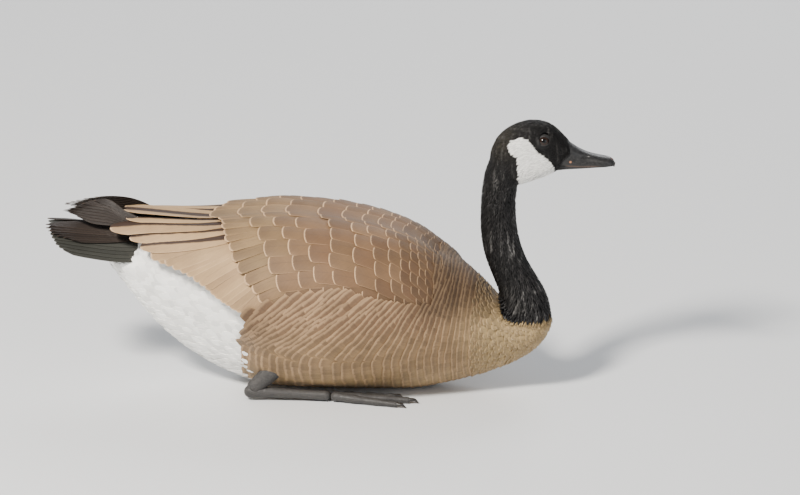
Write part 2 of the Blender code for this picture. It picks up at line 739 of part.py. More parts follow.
def make_tail(goose, helpers, trunk_outline, materials):
    """The tail's closed fan of feathers, the middle ones on top."""
    rings = []
    for share in spread(0.0, 1.0, 3):
        outer = []
        inner = []
        for turn in spread(-TAIL_SPREAD, TAIL_SPREAD, TAIL_CORE_AROUND):
            reach = tail_root(turn) + TAIL_CORE_LENGTH * share
            outer.append(tail_point(reach, turn, -TAIL_CORE_DEPTH))
            inner.append(tail_point(reach, turn, -TAIL_THICKNESS * (1 - 0.5 * share)))
        rings.append(outer + inner[::-1])
    tail = loft("tail", rings, goose, materials["feather_black"])
    turns = spread(TAIL_FIRST_TURN, TAIL_SPREAD - TAIL_EDGE_INSET, TAIL_FEATHERS)
    join(tail, [tail_vane(turn, side, helpers) for turn in turns for side in (1, -1)])
    cut(tail, trunk_outline)
    smooth_shade(tail)


def neck_point(place):
    """The neck's middle at a place counted along its line, and its radius there."""
    rows = [tuple((k, row[c]) for k, row in enumerate(NECK_LINE)) for c in range(3)]
    return Vector((smooth(rows[0], place), 0.0, smooth(rows[1], place))), smooth(rows[2], place)


def neck_ring(place, shift=0.0):
    """The neck's section at a place counted along its line, moved on along it by the shift."""
    point, radius = neck_point(place)
    ahead = (neck_point(place + NECK_STEP)[0] - neck_point(place - NECK_STEP)[0]).normalized()
    return round_ring(point + ahead * shift, ahead, radius, NECK_AROUND, NECK_FLATNESS)


def head_ring(x):
    """The head's section at x."""
    return rounded_section(
        x, smooth(HEAD_TOP, x), smooth(HEAD_BOTTOM, x), smooth(HEAD_WAIST, x), smooth(HEAD_HALF_WIDTH, x),
        HEAD_FULLNESS, HEAD_FULLNESS, HEAD_AROUND,
    )


def head_side(x, z):
    """How far out the head's side is at x and z."""
    waist = smooth(HEAD_WAIST, x)
    reach = (smooth(HEAD_TOP, x) if z > waist else smooth(HEAD_BOTTOM, x)) - waist
    share = (z - waist) / reach
    return smooth(HEAD_HALF_WIDTH, x) * (1 - share ** HEAD_FULLNESS) ** (1 / HEAD_FULLNESS)


def make_head_and_neck(goose, helpers, trunk_outline, materials):
    """The head and both stretches of the neck. Returns the head and its grown outline."""
    black = materials["feather_black"]
    stations = sorted((*spread(*HEAD_RINGS), *HEAD_END_RINGS))
    head = loft("head", [head_ring(x) for x in stations], goose, black)
    head_outline = grown(head, helpers)
    upper_places = spread(0, NECK_PARTING, NECK_RINGS)
    upper = loft("neck_upper", [neck_ring(place) for place in upper_places], goose, black)
    cut(upper, head_outline)
    smooth_shade(upper)
    lower_places = spread(NECK_PARTING, len(NECK_LINE) - 1, NECK_RINGS + 2)
    lower_rings = [neck_ring(place) for place in lower_places[1:]]
    lower = loft("neck_lower", [neck_ring(NECK_PARTING, FIT_GAP), *lower_rings], goose, black)
    cut(lower, trunk_outline)
    smooth_shade(lower)
    return head, head_outline


def make_eyes(goose, helpers, head, materials):
    """The eyes in their sockets, and the lids round them."""
    lids = []
    sockets = []
    for side, name in ((1, "eye_left"), (-1, "eye_right")):
        centre = Vector((EYE_X, side * (head_side(EYE_X, EYE_Z) + EYE_PROUD - EYE_RADIUS), EYE_Z))
        outward = Vector((EYE_OUTWARD.x, side * EYE_OUTWARD.y, EYE_OUTWARD.z))
        turn = outward.to_track_quat("Z", "Y")
        bm = bmesh.new()
        bmesh.ops.create_uvsphere(bm, u_segments=14, v_segments=8, radius=EYE_RADIUS)
        bmesh.ops.rotate(bm, verts=bm.verts, matrix=turn.to_matrix())
        bmesh.ops.translate(bm, verts=bm.verts, vec=centre)
        eye = new_object(name, bm, goose, materials["eye_brown"])
        smooth_shade(eye)
        sockets.append(grown(eye, helpers))
        bpy.ops.mesh.primitive_torus_add(
            major_segments=12, minor_segments=5, major_radius=LID_RADIUS, minor_radius=LID_THICKNESS,
            location=centre + outward * (EYE_RADIUS - LID_BEHIND), rotation=turn.to_euler(),
        )
        lids.append(bpy.context.object)
    join(head, lids)
    cut(head, *sockets)
    smooth_shade(head)


def half_arch(x, top, bottom, half, upwards):
    """A bill section at x: flat at the mouth and arched away from it."""
    ring = []
    for turn in spread(0.0, math.pi, BILL_AROUND):
        y = half * power(math.cos(turn), 0.85)
        rise = max(math.sin(turn), 0.0) ** 0.9 if 0 < turn < math.pi else 0.0
        z = bottom + (top - bottom) * rise if upwards else top - (top - bottom) * rise
        ring.append(Vector((x, y, z)))
    return ring


def make_bill(goose, helpers, head_outline, materials):
    """The upper and lower bill, parted at the mouth."""
    upper_rings = []
    lower_rings = []
    for x in (*spread(*BILL_RINGS), *BILL_TIP_RINGS):
        mouth = smooth(MOUTH_LINE, x)
        half = smooth(BILL_HALF_WIDTH, x)
        upper_rings.append(half_arch(x, smooth(CULMEN, x), mouth + MOUTH_GAP / 2, half, True))
    for x in (*spread(*JAW_RINGS), *JAW_TIP_RINGS):
        mouth = smooth(MOUTH_LINE, x)
        half = smooth(BILL_HALF_WIDTH, x) * JAW_NARROWER
        lower_rings.append(half_arch(x, mouth - MOUTH_GAP / 2, smooth(JAW_LINE, x), half, False))
    upper = loft("bill_upper", upper_rings, goose, materials["bill_black"])
    lower = loft("bill_lower", lower_rings, goose, materials["bill_black"])
    nostrils = []
    for side in (1, -1):
        bm = bmesh.new()
        bmesh.ops.create_uvsphere(bm, u_segments=10, v_segments=6, radius=1.0)
        size = Vector((NOSTRIL["length"] / 2, NOSTRIL["depth"], NOSTRIL["height"] / 2))
        bmesh.ops.scale(bm, verts=bm.verts, vec=size)
        reach = smooth(BILL_HALF_WIDTH, NOSTRIL["x"]) * NOSTRIL["out"]
        bmesh.ops.translate(bm, verts=bm.verts, vec=Vector((NOSTRIL["x"], side * reach, NOSTRIL["z"])))
        nostrils.append(new_object("nostril", bm, helpers))
    cut(upper, head_outline, *nostrils)
    cut(lower, head_outline)
    smooth_shade(upper)
    smooth_shade(lower)


def make_web(helpers, tips):
    """The thin web between the toes."""
    hollow = Vector((WEB_HOLLOW, 0.0, 0.0))
    inner, middle, outer = tips
    rim = [FOOT_JOINT, inner, (inner + middle) / 2 - hollow, middle, (middle + outer) / 2 - hollow, outer]
    bm = bmesh.new()
    face = bm.faces.new([bm.verts.new((point.x, point.y, WEB_HEIGHT[0])) for point in rim])
    top = bmesh.ops.extrude_face_region(bm, geom=[face])["geom"]
    rise = Vector((0.0, 0.0, WEB_HEIGHT[1] - WEB_HEIGHT[0]))
    bmesh.ops.translate(bm, verts=[item for item in top if isinstance(item, bmesh.types.BMVert)], vec=rise)
    bmesh.ops.recalc_face_normals(bm, faces=bm.faces)
    return new_object("web", bm, helpers)


def make_legs(goose, helpers, trunk_outline, materials):
    """Both legs and webbed feet, folded under the body."""
    grey = materials["leg_grey"]
    leg = tube("leg_left", [TIBIA_TOP, ANKLE + SHIN_BEND, ANKLE], SHIN_RADII, goose, grey)
    shank_line = [ANKLE + HEEL, (ANKLE + FOOT_JOINT) / 2, FOOT_JOINT]
    join(leg, [tube("shank", shank_line, SHANK_RADII, helpers)])
    cut(leg, trunk_outline)
    rest_on_floor(leg)
    smooth_shade(leg)
    foot = tube("foot_left", [FOOT_JOINT, FOOT_JOINT + HIND_TOE], HIND_TOE_RADII, goose, grey)
    pieces = []
    web_tips = []
    for toe in TOES:
        radius = toe["radius"]
        tip = Vector((*toe["tip"], radius * 0.75))
        middle = (FOOT_JOINT + tip) / 2
        middle.z = radius
        radii = (TOE_ROOT_RADIUS, radius, radius * 0.8)
        pieces.append(tube("toe", [FOOT_JOINT, middle, tip], radii, helpers))
        ahead = (tip - FOOT_JOINT).normalized()
        point = tip + ahead * CLAW_LENGTH
        point.z = CLAW_POINT_HEIGHT
        claw = [tip - ahead * CLAW_ROOT, tip + ahead * CLAW_LENGTH * 0.4, point]
        pieces.append(tube("claw", claw, CLAW_RADII, helpers, around=CLAW_AROUND))
        web_tips.append(FOOT_JOINT + (tip - FOOT_JOINT) * WEB_REACH)
    pieces.append(make_web(helpers, web_tips))
    join(foot, pieces)
    cut(foot, grown(leg, helpers))
    rest_on_floor(foot)
    smooth_shade(foot)
    mirrored(leg, "leg_right", goose)
    mirrored(foot, "foot_right", goose)


def build():
    """The whole goose."""
    clear_scene()
    goose, helpers = make_collections()
    materials = make_materials()
    trunk_outline = make_trunk(goose, helpers, materials)
    make_wings(goose, helpers, trunk_outline, materials)
    make_primaries(goose, helpers, materials)
    make_tail(goose, helpers, trunk_outline, materials)
    head, head_outline = make_head_and_neck(goose, helpers, trunk_outline, materials)
    make_eyes(goose, helpers, head, materials)
    make_bill(goose, helpers, head_outline, materials)
    make_legs(goose, helpers, trunk_outline, materials)
    for cutter in helpers.objects:
        cutter.hide_render = True
        cutter.display_type = "WIRE"


build()
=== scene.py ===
"""A Canada goose at rest on its belly, dressed in skin, plumage, bill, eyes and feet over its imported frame.

Metres, +Z up. The bill points to +X and the left wing is on +Y.
"""

import logging
import math
from collections.abc import Callable
from dataclasses import dataclass
from enum import Enum

import bmesh
import bpy
import numpy as np
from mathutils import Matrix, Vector
from mathutils.bvhtree import BVHTree
from mathutils.kdtree import KDTree


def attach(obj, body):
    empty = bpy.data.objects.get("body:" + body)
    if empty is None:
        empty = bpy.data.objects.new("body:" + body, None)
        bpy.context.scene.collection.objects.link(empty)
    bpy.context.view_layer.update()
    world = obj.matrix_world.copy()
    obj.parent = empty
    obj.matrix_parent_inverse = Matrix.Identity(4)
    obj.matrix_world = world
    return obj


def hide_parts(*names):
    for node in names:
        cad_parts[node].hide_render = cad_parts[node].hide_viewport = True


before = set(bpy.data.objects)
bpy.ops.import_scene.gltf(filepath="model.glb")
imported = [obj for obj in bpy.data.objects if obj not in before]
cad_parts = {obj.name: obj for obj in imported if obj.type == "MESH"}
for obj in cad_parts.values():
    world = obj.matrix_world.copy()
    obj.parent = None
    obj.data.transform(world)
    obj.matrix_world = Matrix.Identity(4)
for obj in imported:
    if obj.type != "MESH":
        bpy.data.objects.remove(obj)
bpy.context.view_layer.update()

BODY = "root"
VANE_MAP = "Vane"
BAKE_MAP = "OFBake"
MARKS = "Marks"
RELIEF_DEPTH = 0.0002
CRISP = 55.0
LOG = logging.getLogger("goose")

Array = np.ndarray
Draw = np.random.Generator
Material = bpy.types.Material
Node = bpy.types.Node
Piece = bpy.types.Object
Socket = bpy.types.NodeSocket
Pair = tuple[float, float]
Triple = tuple[float, float, float]
Colour = Triple
Stations = tuple[Pair, ...]


class Slot(Enum):
    """The record's material slots."""

    BROWN = "feather_brown"
    TAN = "feather_tan"
    WHITE = "feather_white"
    BLACK = "feather_black"
    BILL = "bill_black"
    EYE = "eye_brown"
    LEG = "leg_grey"


class Side(Enum):
    """The two sides of the goose, as the sign of y."""

    LEFT = 1
    RIGHT = -1

    @property
    def word(self) -> str:
        """The side's name, which its pieces and nodes end in."""
        return self.name.lower()

    @property
    def flip(self) -> Array:
        """What carries a point of the left side over to this one."""
        return np.array([1.0, self.value, 1.0])


def curve(stations: Stations, at: Array | float) -> Array:
    """Read a monotone cubic curve through stations.

    Args:
        stations: Places and values, in rising order of place.
        at: Where to read the curve.

    Returns:
        The values there, held level past both ends.
    """
    place, value = np.array(stations, float).T
    at = np.clip(np.asarray(at, float), place[0], place[-1])
    span = np.diff(place)
    slope = np.diff(value) / span
    before, after = slope[:-1], slope[1:]
    both = np.where(before + after == 0, 1, before + after)
    inner = np.where(before * after > 0, 2 * before * after / both, 0.0)
    tangent = np.concatenate([slope[:1], inner, slope[-1:]])
    k = np.clip(np.searchsorted(place, at) - 1, 0, len(span) - 1)
    t = (at - place[k]) / span[k]
    rise = t * t * (3 - 2 * t)
    bend = span[k] * t * (1 - t) * ((1 - t) * tangent[k] - t * tangent[k + 1])
    return value[k] * (1 - rise) + value[k + 1] * rise + bend


def ease(low: float, high: float, value: Array) -> Array:
    """Rise smoothly from 0 at low to 1 at high, which may be the lower of the two."""
    t = np.clip((value - low) / (high - low), 0.0, 1.0)
    return t * t * (3 - 2 * t)


def unit(vectors: Array) -> Array:
    """Scale vectors on the last axis to length 1."""
    return vectors / np.maximum(np.linalg.norm(vectors, axis=-1, keepdims=True), 1e-12)


def about(draw: Draw, share: float, count: int) -> Array:
    """Factors that differ from 1 by a share at most."""
    return 1 + share * draw.uniform(-1, 1, count)


def walk(points: Array) -> Array:
    """How far along a line of points each of them lies."""
    return np.concatenate([[0.0], np.cumsum(np.linalg.norm(np.diff(points, axis=0), axis=1))])


def read(rows: bpy.types.bpy_prop_collection, key: str, width: int, kind: type = np.int32) -> Array:
    """Read one property of a mesh's corners, edges or triangles, with a row of numbers for each."""
    values = np.empty(len(rows) * width, kind)
    rows.foreach_get(key, values)
    return values.reshape(-1, width)


def corners_of(mesh: bpy.types.Mesh) -> Array:
    """The places of a mesh's corners."""
    return read(mesh.vertices, "co", 3, np.float32).astype(float)


def store(mesh: bpy.types.Mesh, name: str, values: Array) -> None:
    """Keep a value or a colour at each corner, for the finishes to read."""
    kind, key = ("FLOAT_COLOR", "color") if values.ndim > 1 else ("FLOAT", "value")
    mesh.attributes.new(name, kind, "POINT").data.foreach_set(key, values.astype(np.float32).ravel())


def smooth(mesh: bpy.types.Mesh, sharp: float | None) -> None:
    """Shade a mesh smooth, its edges above an angle in degrees crisp."""
    mesh.shade_smooth()
    if sharp is not None:
        mesh.set_sharp_from_angle(angle=math.radians(sharp))


def linked(name: str, data: bpy.types.ID) -> Piece:
    """Put a new object into the scene."""
    item = bpy.data.objects.new(name, data)
    bpy.context.scene.collection.objects.link(item)
    return item


def place_piece(piece: Piece, finish: Material, slot: Slot, *nodes: str) -> None:
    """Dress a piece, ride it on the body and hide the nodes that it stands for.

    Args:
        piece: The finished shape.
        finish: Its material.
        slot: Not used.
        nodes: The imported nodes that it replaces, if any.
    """
    piece.data.materials.append(finish)
    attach(piece, BODY)
    if nodes:
        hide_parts(*nodes)
    LOG.info("%s: %d faces", piece.name, len(piece.data.polygons))


def mesh_piece(name: str, points: Array, faces: Array, sharp: float | None = None) -> Piece:
    """Make an object from points and four-cornered faces.

    Args:
        name: The piece's name.
        points: Its corners, as rows of x, y, z.
        faces: Four corner numbers a face.
        sharp: The angle in degrees above which an edge stays crisp, or None to smooth all.

    Returns:
        The new object.
    """
    mesh = bpy.data.meshes.new(name)
    mesh.vertices.add(len(points))
    mesh.vertices.foreach_set("co", np.asarray(points, np.float32).ravel())
    mesh.loops.add(faces.size)
    mesh.loops.foreach_set("vertex_index", np.asarray(faces, np.int32).ravel())
    mesh.polygons.add(len(faces))
    mesh.polygons.foreach_set("loop_start", np.arange(0, faces.size, faces.shape[1], dtype=np.int32))
    mesh.update(calc_edges=True)
    smooth(mesh, sharp)
    return linked(name, mesh)


def grid_faces(rows: int, columns: int, closed: bool = False) -> Array:
    """Corner numbers of the faces of a grid of points, row by row.

    Args:
        rows: How many rows of points.
        columns: How many points in a row.
        closed: Whether each row is a ring.

    Returns:
        Four corner numbers a face.
    """
    steps = columns if closed else columns - 1
    row, column = np.meshgrid(np.arange(rows - 1), np.arange(steps), indexing="ij")
    beside = (column + 1) % columns
    here, ahead = row * columns, (row + 1) * columns
    corners = (here + column, ahead + column, ahead + beside, here + beside)
    return np.stack(corners, axis=-1).reshape(-1, 4)


def lofted(name: str, rings: Array, sharp: float | None = 50.0) -> Piece:
    """Make a closed body over rings of points, each end drawn to its middle.

    Args:
        name: The piece's name.
        rings: Points as (ring, place round it, xyz).
        sharp: The angle in degrees above which an edge stays crisp, or None to smooth all.

    Returns:
        The new object, its faces pointing out.
    """
    count, around = rings.shape[:2]
    piece = mesh_piece(name, rings.reshape(-1, 3), grid_faces(count, around, True))
    bm = bmesh.new()
    bm.from_mesh(piece.data)
    bm.verts.ensure_lookup_table()
    for ring in (0, count - 1):
        middle = bm.verts.new(rings[ring].mean(axis=0))
        bm.verts.ensure_lookup_table()
        edge = bm.verts[ring * around:(ring + 1) * around]
        for k in range(around):
            bm.faces.new((edge[k], edge[(k + 1) % around], middle))
    bmesh.ops.recalc_face_normals(bm, faces=bm.faces)
    bm.to_mesh(piece.data)
    bm.free()
    smooth(piece.data, sharp)
    return piece


def joined(name: str, pieces: list[Piece]) -> Piece:
    """Gather several objects' meshes in the first one, and rename it.

    Args:
        name: The new name.
        pieces: The objects.

    Returns:
        The first one.
    """
    with bpy.context.temp_override(active_object=pieces[0], selected_editable_objects=pieces):
        bpy.ops.object.join()
    pieces[0].name = name
    return pieces[0]


class NodeTree:
    """Short hands for building one material's or group's nodes."""

    def __init__(self, tree: bpy.types.NodeTree) -> None:
        """Keep the tree that nodes are added to."""
        self.tree = tree

    def add(self, kind: str, inputs: dict | None = None, **settings: object) -> Node:
        """Add a node.

        Args:
            kind: The node's type.
            inputs: Values or sockets for its inputs, by name or number.
            settings: Its own settings.

        Returns:
            The new node.
        """
        node = self.tree.nodes.new(kind)
        for key, value in settings.items():
            setattr(node, key, value)
        self.put(node, inputs or {})
        return node

    def put(self, node: Node, values: dict) -> None:
        """Link or set some inputs of a node, by name or number."""
        for key, value in values.items():
            self.feed(node.inputs[key], value)

    def feed(self, socket: Socket, value: object) -> None:
        """Link a socket to the input, or set its value.

        Args:
            socket: The input's socket.
            value: Another node's socket, or a value.
        """
        if isinstance(value, Socket):
            self.tree.links.new(value, socket)
        elif isinstance(value, tuple) and len(value) == 3 and socket.type == "RGBA":
            socket.default_value = (*value, 1.0)
        else:
            socket.default_value = value

    def math(self, operation: str, *values: object, clamp: bool = False) -> Socket:
        """Add a Math node and return its result."""
        inputs = dict(enumerate(values))
        return self.add("ShaderNodeMath", inputs, operation=operation, use_clamp=clamp).outputs[0]

    def times(self, first: object, second: object) -> Socket:
        """Multiply two values."""
        return self.math("MULTIPLY", first, second)

    def scaled(self, value: object, factor: object, extra: object) -> Socket:
        """Multiply a value by a factor and add to it."""
        return self.math("MULTIPLY_ADD", value, factor, extra)

    def mix(self, share: object, first: object, second: object, blend: str = "MIX") -> Socket:
        """Mix two colours and return the result."""
        inputs = {0: share, 6: first, 7: second}
        return self.add("ShaderNodeMix", inputs, data_type="RGBA", blend_type=blend).outputs[2]

    def shade(self, colour: Socket, value: Socket) -> Socket:
        """Make a colour darker or lighter by a value."""
        grey = self.add("ShaderNodeCombineColor", {0: value, 1: value, 2: value}).outputs[0]
        return self.mix(1.0, colour, grey, "MULTIPLY")

    def span(self, value: object, low: object, high: object, start: float = 0.0, end: float = 1.0) -> Socket:
        """Map a value smoothly from between low and high to between start and end."""
        inputs = {0: value, 1: low, 2: high, 3: start, 4: end}
        return self.add("ShaderNodeMapRange", inputs, interpolation_type="SMOOTHSTEP").outputs[0]

    def noise(self, place: object, scale: float, detail: float = 3.0, roughness: float = 0.55) -> Socket:
        """A noise value over a place."""
        inputs = {"Vector": place, "Scale": scale, "Detail": detail, "Roughness": roughness}
        return self.add("ShaderNodeTexNoise", inputs).outputs[0]

    def stretched(self, place: object, scale: Triple) -> Socket:
        """A place, scaled apart along its axes."""
        return self.add("ShaderNodeVectorMath", {0: place, 1: scale}, operation="MULTIPLY").outputs[0]

    def here(self) -> Socket:
        """The place on the piece, in metres."""
        return self.add("ShaderNodeTexCoord").outputs["Object"]

    def on_vane(self) -> tuple[Socket, Socket, Socket]:
        """The place on a feather: across it, along it, and how far to either side of its shaft."""
        place = self.add("ShaderNodeUVMap", uv_map=VANE_MAP).outputs[0]
        parts = self.add("ShaderNodeSeparateXYZ", {0: place}).outputs
        return parts[0], parts[1], self.math("ABSOLUTE", self.scaled(parts[0], 2.0, -1.0))

    def carried(self, name: str) -> Socket:
        """A value that the piece's corners carry."""
        return self.add("ShaderNodeAttribute", attribute_name=name).outputs["Fac"]

    def group(self, tree: bpy.types.NodeTree, inputs: dict | None = None) -> dict[str, Socket]:
        """Place a shared group with its own values, and return its outputs by name."""
        return dict(self.add("ShaderNodeGroup", inputs, node_tree=tree).outputs.items())

    def bump(self, shader: Node, strength: float, height: Socket) -> None:
        """Give a shader the relief of a height."""
        inputs = {"Strength": strength, "Distance": RELIEF_DEPTH, "Height": height}
        self.feed(shader.inputs["Normal"], self.add("ShaderNodeBump", inputs).outputs[0])


def started(name: str) -> tuple[Material, NodeTree, Node]:
    """Start a material: itself, its node short hands and its shader."""
    material = bpy.data.materials.new(name)
    material.use_nodes = True
    return material, NodeTree(material.node_tree), material.node_tree.nodes["Principled BSDF"]


def effect(name: str, inputs: dict[str, float], outputs: tuple[str, ...]) -> tuple:
    """Start a shader node group of plain numbers.

    Args:
        name: The group's name.
        inputs: Its inputs with their first values.
        outputs: Its outputs.

    Returns:
        The group, its node short hands, its inputs by name, and the node that takes its outputs.
    """
    group = bpy.data.node_groups.new(name, "ShaderNodeTree")
    for label, value in inputs.items():
        socket = group.interface.new_socket(label, in_out="INPUT", socket_type="NodeSocketFloat")
        socket.default_value = value
    for label in outputs:
        group.interface.new_socket(label, in_out="OUTPUT", socket_type="NodeSocketFloat")
    nodes = NodeTree(group)
    return group, nodes, nodes.add("NodeGroupInput").outputs, nodes.add("NodeGroupOutput")


class Effects:
    """The shader node groups that several materials share."""

    def __init__(self) -> None:
        """Build every group once."""
        self.vane = self.build_vane()
        self.barbs = self.build_barbs()
        self.mottle = self.build_mottle()
        self.marks = self.build_marks()

    def build_vane(self) -> bpy.types.NodeTree:
        """Masks over one feather: its pale fringe, its shaft, and the dusky band before the fringe.

        Returns:
            The group.
        """
        inputs = {"Side Width": 0.1, "Tip Width": 0.06, "Shaft Width": 0.02}
        group, nodes, given, out = effect("vane_masks", inputs, ("Fringe", "Shaft", "Band", "Across"))
        across, along, side = nodes.on_vane()
        rough = nodes.scaled(nodes.noise(nodes.here(), 900.0, 2.0), 0.05, -0.025)
        run = nodes.math("ADD", along, rough)
        sides = self.rim(nodes, nodes.math("ADD", side, rough), given["Side Width"])
        sides = nodes.times(nodes.times(sides, nodes.span(run, 0.25, 0.6)), 0.45)
        fringe = nodes.math("MAXIMUM", sides, self.rim(nodes, run, given["Tip Width"]))
        shaft = nodes.times(nodes.span(side, given["Shaft Width"], 0.0), nodes.span(run, 0.98, 0.85))
        band = nodes.times(nodes.span(run, 0.55, 0.9), nodes.span(side, 1.0, 0.5))
        nodes.put(out, {"Fringe": fringe, "Shaft": shaft, "Band": band, "Across": across})
        return group

    @staticmethod
    def rim(nodes: NodeTree, value: Socket, width: Socket) -> Socket:
        """Where a value comes within a width of 1."""
        return nodes.span(value, nodes.math("SUBTRACT", 1.0, width), nodes.scaled(width, -0.35, 1.0))

    @staticmethod
    def build_barbs() -> bpy.types.NodeTree:
        """The fine slanting barbs of a feather, and the odd split between them.

        Returns:
            The group.
        """
        group, nodes, given, out = effect("barb_lines", {"Count": 40.0, "Slant": 0.3}, ("Height", "Streak"))
        _, along, side = nodes.on_vane()
        drift = nodes.scaled(nodes.noise(nodes.here(), 260.0, 3.0), 0.1, -0.05)
        along = nodes.math("ADD", nodes.math("SUBTRACT", along, nodes.times(side, given["Slant"])), drift)
        turn = nodes.times(nodes.times(along, given["Count"]), math.tau)
        wave = nodes.scaled(nodes.math("SINE", turn), 0.5, 0.5)
        streak = nodes.noise(nodes.add("ShaderNodeCombineXYZ", {0: along}).outputs[0], 34.0, 4.0, 0.7)
        nodes.put(out, {"Height": nodes.scaled(streak, 1.4, wave), "Streak": streak})
        return group

    @staticmethod
    def build_mottle() -> bpy.types.NodeTree:
        """Soft patches of lighter and darker over the whole piece, about 1.

        Returns:
            The group.
        """
        group, nodes, given, out = effect("mottle", {"Scale": 60.0, "Amount": 0.2}, ("Factor",))
        noise = nodes.add("ShaderNodeTexNoise", {"Vector": nodes.here(), "Scale": given["Scale"]})
        swing = nodes.times(nodes.scaled(noise.outputs[0], 2.0, -1.0), given["Amount"])
        nodes.put(out, {"Factor": nodes.math("ADD", swing, 1.0)})
        return group

    @staticmethod
    def build_marks() -> bpy.types.NodeTree:
        """The goose's markings for skin and coat: tan, white and black shares and a tone, in the hood also
        painted sheen.

        Returns:
            The group.
        """
        names = ("Tan", "White", "Black", "Tone")
        group, nodes, _, out = effect("markings", {}, names)
        marks = nodes.add("ShaderNodeAttribute", attribute_name=MARKS).outputs
        shares = nodes.add("ShaderNodeSeparateColor", {0: marks["Color"]}).outputs
        nodes.put(out, dict(zip(names, (*shares, marks["Alpha"]))))
        return group


@dataclass(frozen=True)
class Plumage:
    """The finish of one kind of feather, or of the skin beneath it."""

    name: str
    body: Colour
    fringe: Colour
    side_width: float = 0.16
    tip_width: float = 0.09
    fringe_share: float = 1.0
    band_share: float = 0.35
    band: Colour = (0.1, 0.062, 0.04)
    shaft: Colour = (0.09, 0.06, 0.042)
    shaft_width: float = 0.03
    barbs: float = 42.0
    roughness: float = 0.62
    relief: float = 0.35
    mottle: float = 0.16
    sheen: float = 0.04
    specular: float = 0.28
    tan: Colour = (0.36, 0.252, 0.12)
    white: Colour = (0.93, 0.92, 0.88)
    black: Colour = (0.0065, 0.006, 0.006)
    # Painted sheen: the olive-brown sheen on the black at the back of the head.
    nape_sheen: Colour = (0.027, 0.0235, 0.0165)
    # Painted sheen: the grey of the glossy streaks laid over black, and how much of the black they cover.
    gloss: Colour = (0.108, 0.104, 0.099)
    painted_gloss_share: float = 0.55
    # The dark inner web of tertials and secondaries: partly the web's own darker brown, partly painted shade
    # under the edge of the feather above.
    shaded_inner_web: float = 0.0
    inner: Colour = (0.03, 0.016, 0.012)
    inner_shade_share: float = 0.97
    shaft_share: float = 0.7
    shaft_rise: float = 2.0
    sheen_roughness: float = 0.4
    bare: bool = False

    def material(self, effects: Effects) -> Material:
        """Build the material.

        Args:
            effects: The shared node groups.

        Returns:
            The new material.
        """
        material, nodes, shader = started(self.name)
        marks = nodes.group(effects.marks)
        tan, white, black = marks["Tan"], marks["White"], marks["Black"]
        plain = nodes.mix(tan, self.body, self.tan)
        height = nodes.noise(nodes.here(), 700.0, 3.0)
        if not self.bare:
            plain, height = self.feathered(nodes, effects, plain)
        # Where the tan share is set in the black, it mixes in the painted sheen at the back of the head.
        dark = nodes.mix(tan, self.black, self.nape_sheen)
        # Painted sheen: long streaks of lighter grey over the black, standing in for glossy highlights.
        streak = nodes.noise(nodes.stretched(nodes.here(), (1.0, 1.0, 0.16)), 210.0, 3.0, 0.6)
        streak = nodes.times(nodes.span(streak, 0.52, 0.72), self.painted_gloss_share)
        dark = nodes.mix(streak, dark, self.gloss)
        # Painted sheen and shade: the black is lighter on the barbs' raised crests and darker between them.
        dark = nodes.shade(dark, nodes.span(height, 0.2, 2.4, 0.6, 1.9))
        colour = nodes.mix(black, nodes.mix(white, plain, self.white), dark)
        mottle = nodes.group(effects.mottle, {"Amount": self.mottle})["Factor"]
        plainly = nodes.math("SUBTRACT", 1.0, nodes.math("MAXIMUM", white, black), clamp=True)
        changed = nodes.scaled(nodes.math("SUBTRACT", mottle, 1.0), plainly, 1.0)
        tone = nodes.times(marks["Tone"], changed)
        rough = nodes.span(height, 0.0, 2.4, self.roughness - 0.06, self.roughness + 0.08)
        nodes.put(shader, {"Base Color": nodes.shade(colour, tone), "Roughness": rough})
        shader.inputs["Sheen Weight"].default_value = self.sheen
        shader.inputs["Sheen Roughness"].default_value = self.sheen_roughness
        shader.inputs["Specular IOR Level"].default_value = self.specular
        nodes.bump(shader, self.relief, height)
        return material

    def feathered(self, nodes: NodeTree, effects: Effects, plain: Socket) -> tuple[Socket, Socket]:
        """Add what a feather has and bare skin hasn't: band, barbs, fringe, inner web with painted shade, and
        shaft.

        Args:
            nodes: The material's nodes.
            effects: The shared node groups.
            plain: The colour so far.

        Returns:
            The colour and the height of the relief.
        """
        widths = {
            "Side Width": self.side_width, "Tip Width": self.tip_width, "Shaft Width": self.shaft_width}
        vane = nodes.group(effects.vane, widths)
        barbs = nodes.group(effects.barbs, {"Count": self.barbs})
        plain = nodes.mix(nodes.times(vane["Band"], self.band_share), plain, self.band)
        plain = nodes.shade(plain, nodes.span(barbs["Streak"], 0.3, 0.7, 0.86, 1.12))
        plain = nodes.mix(nodes.times(vane["Fringe"], self.fringe_share), plain, self.fringe)
        # Dark inner web: partly the feather's own darker brown, partly painted shade beneath the overlapping
        # feather.
        if self.shaded_inner_web:
            wavy = nodes.scaled(nodes.noise(nodes.here(), 120.0), 0.12, vane["Across"])
            web = nodes.span(wavy, self.shaded_inner_web + 0.05, self.shaded_inner_web - 0.04)
            plain = nodes.mix(nodes.times(web, self.inner_shade_share), plain, self.inner)
        plain = nodes.mix(nodes.times(vane["Shaft"], self.shaft_share), plain, self.shaft)
        return plain, nodes.math("ADD", barbs["Height"], nodes.times(vane["Shaft"], self.shaft_rise))


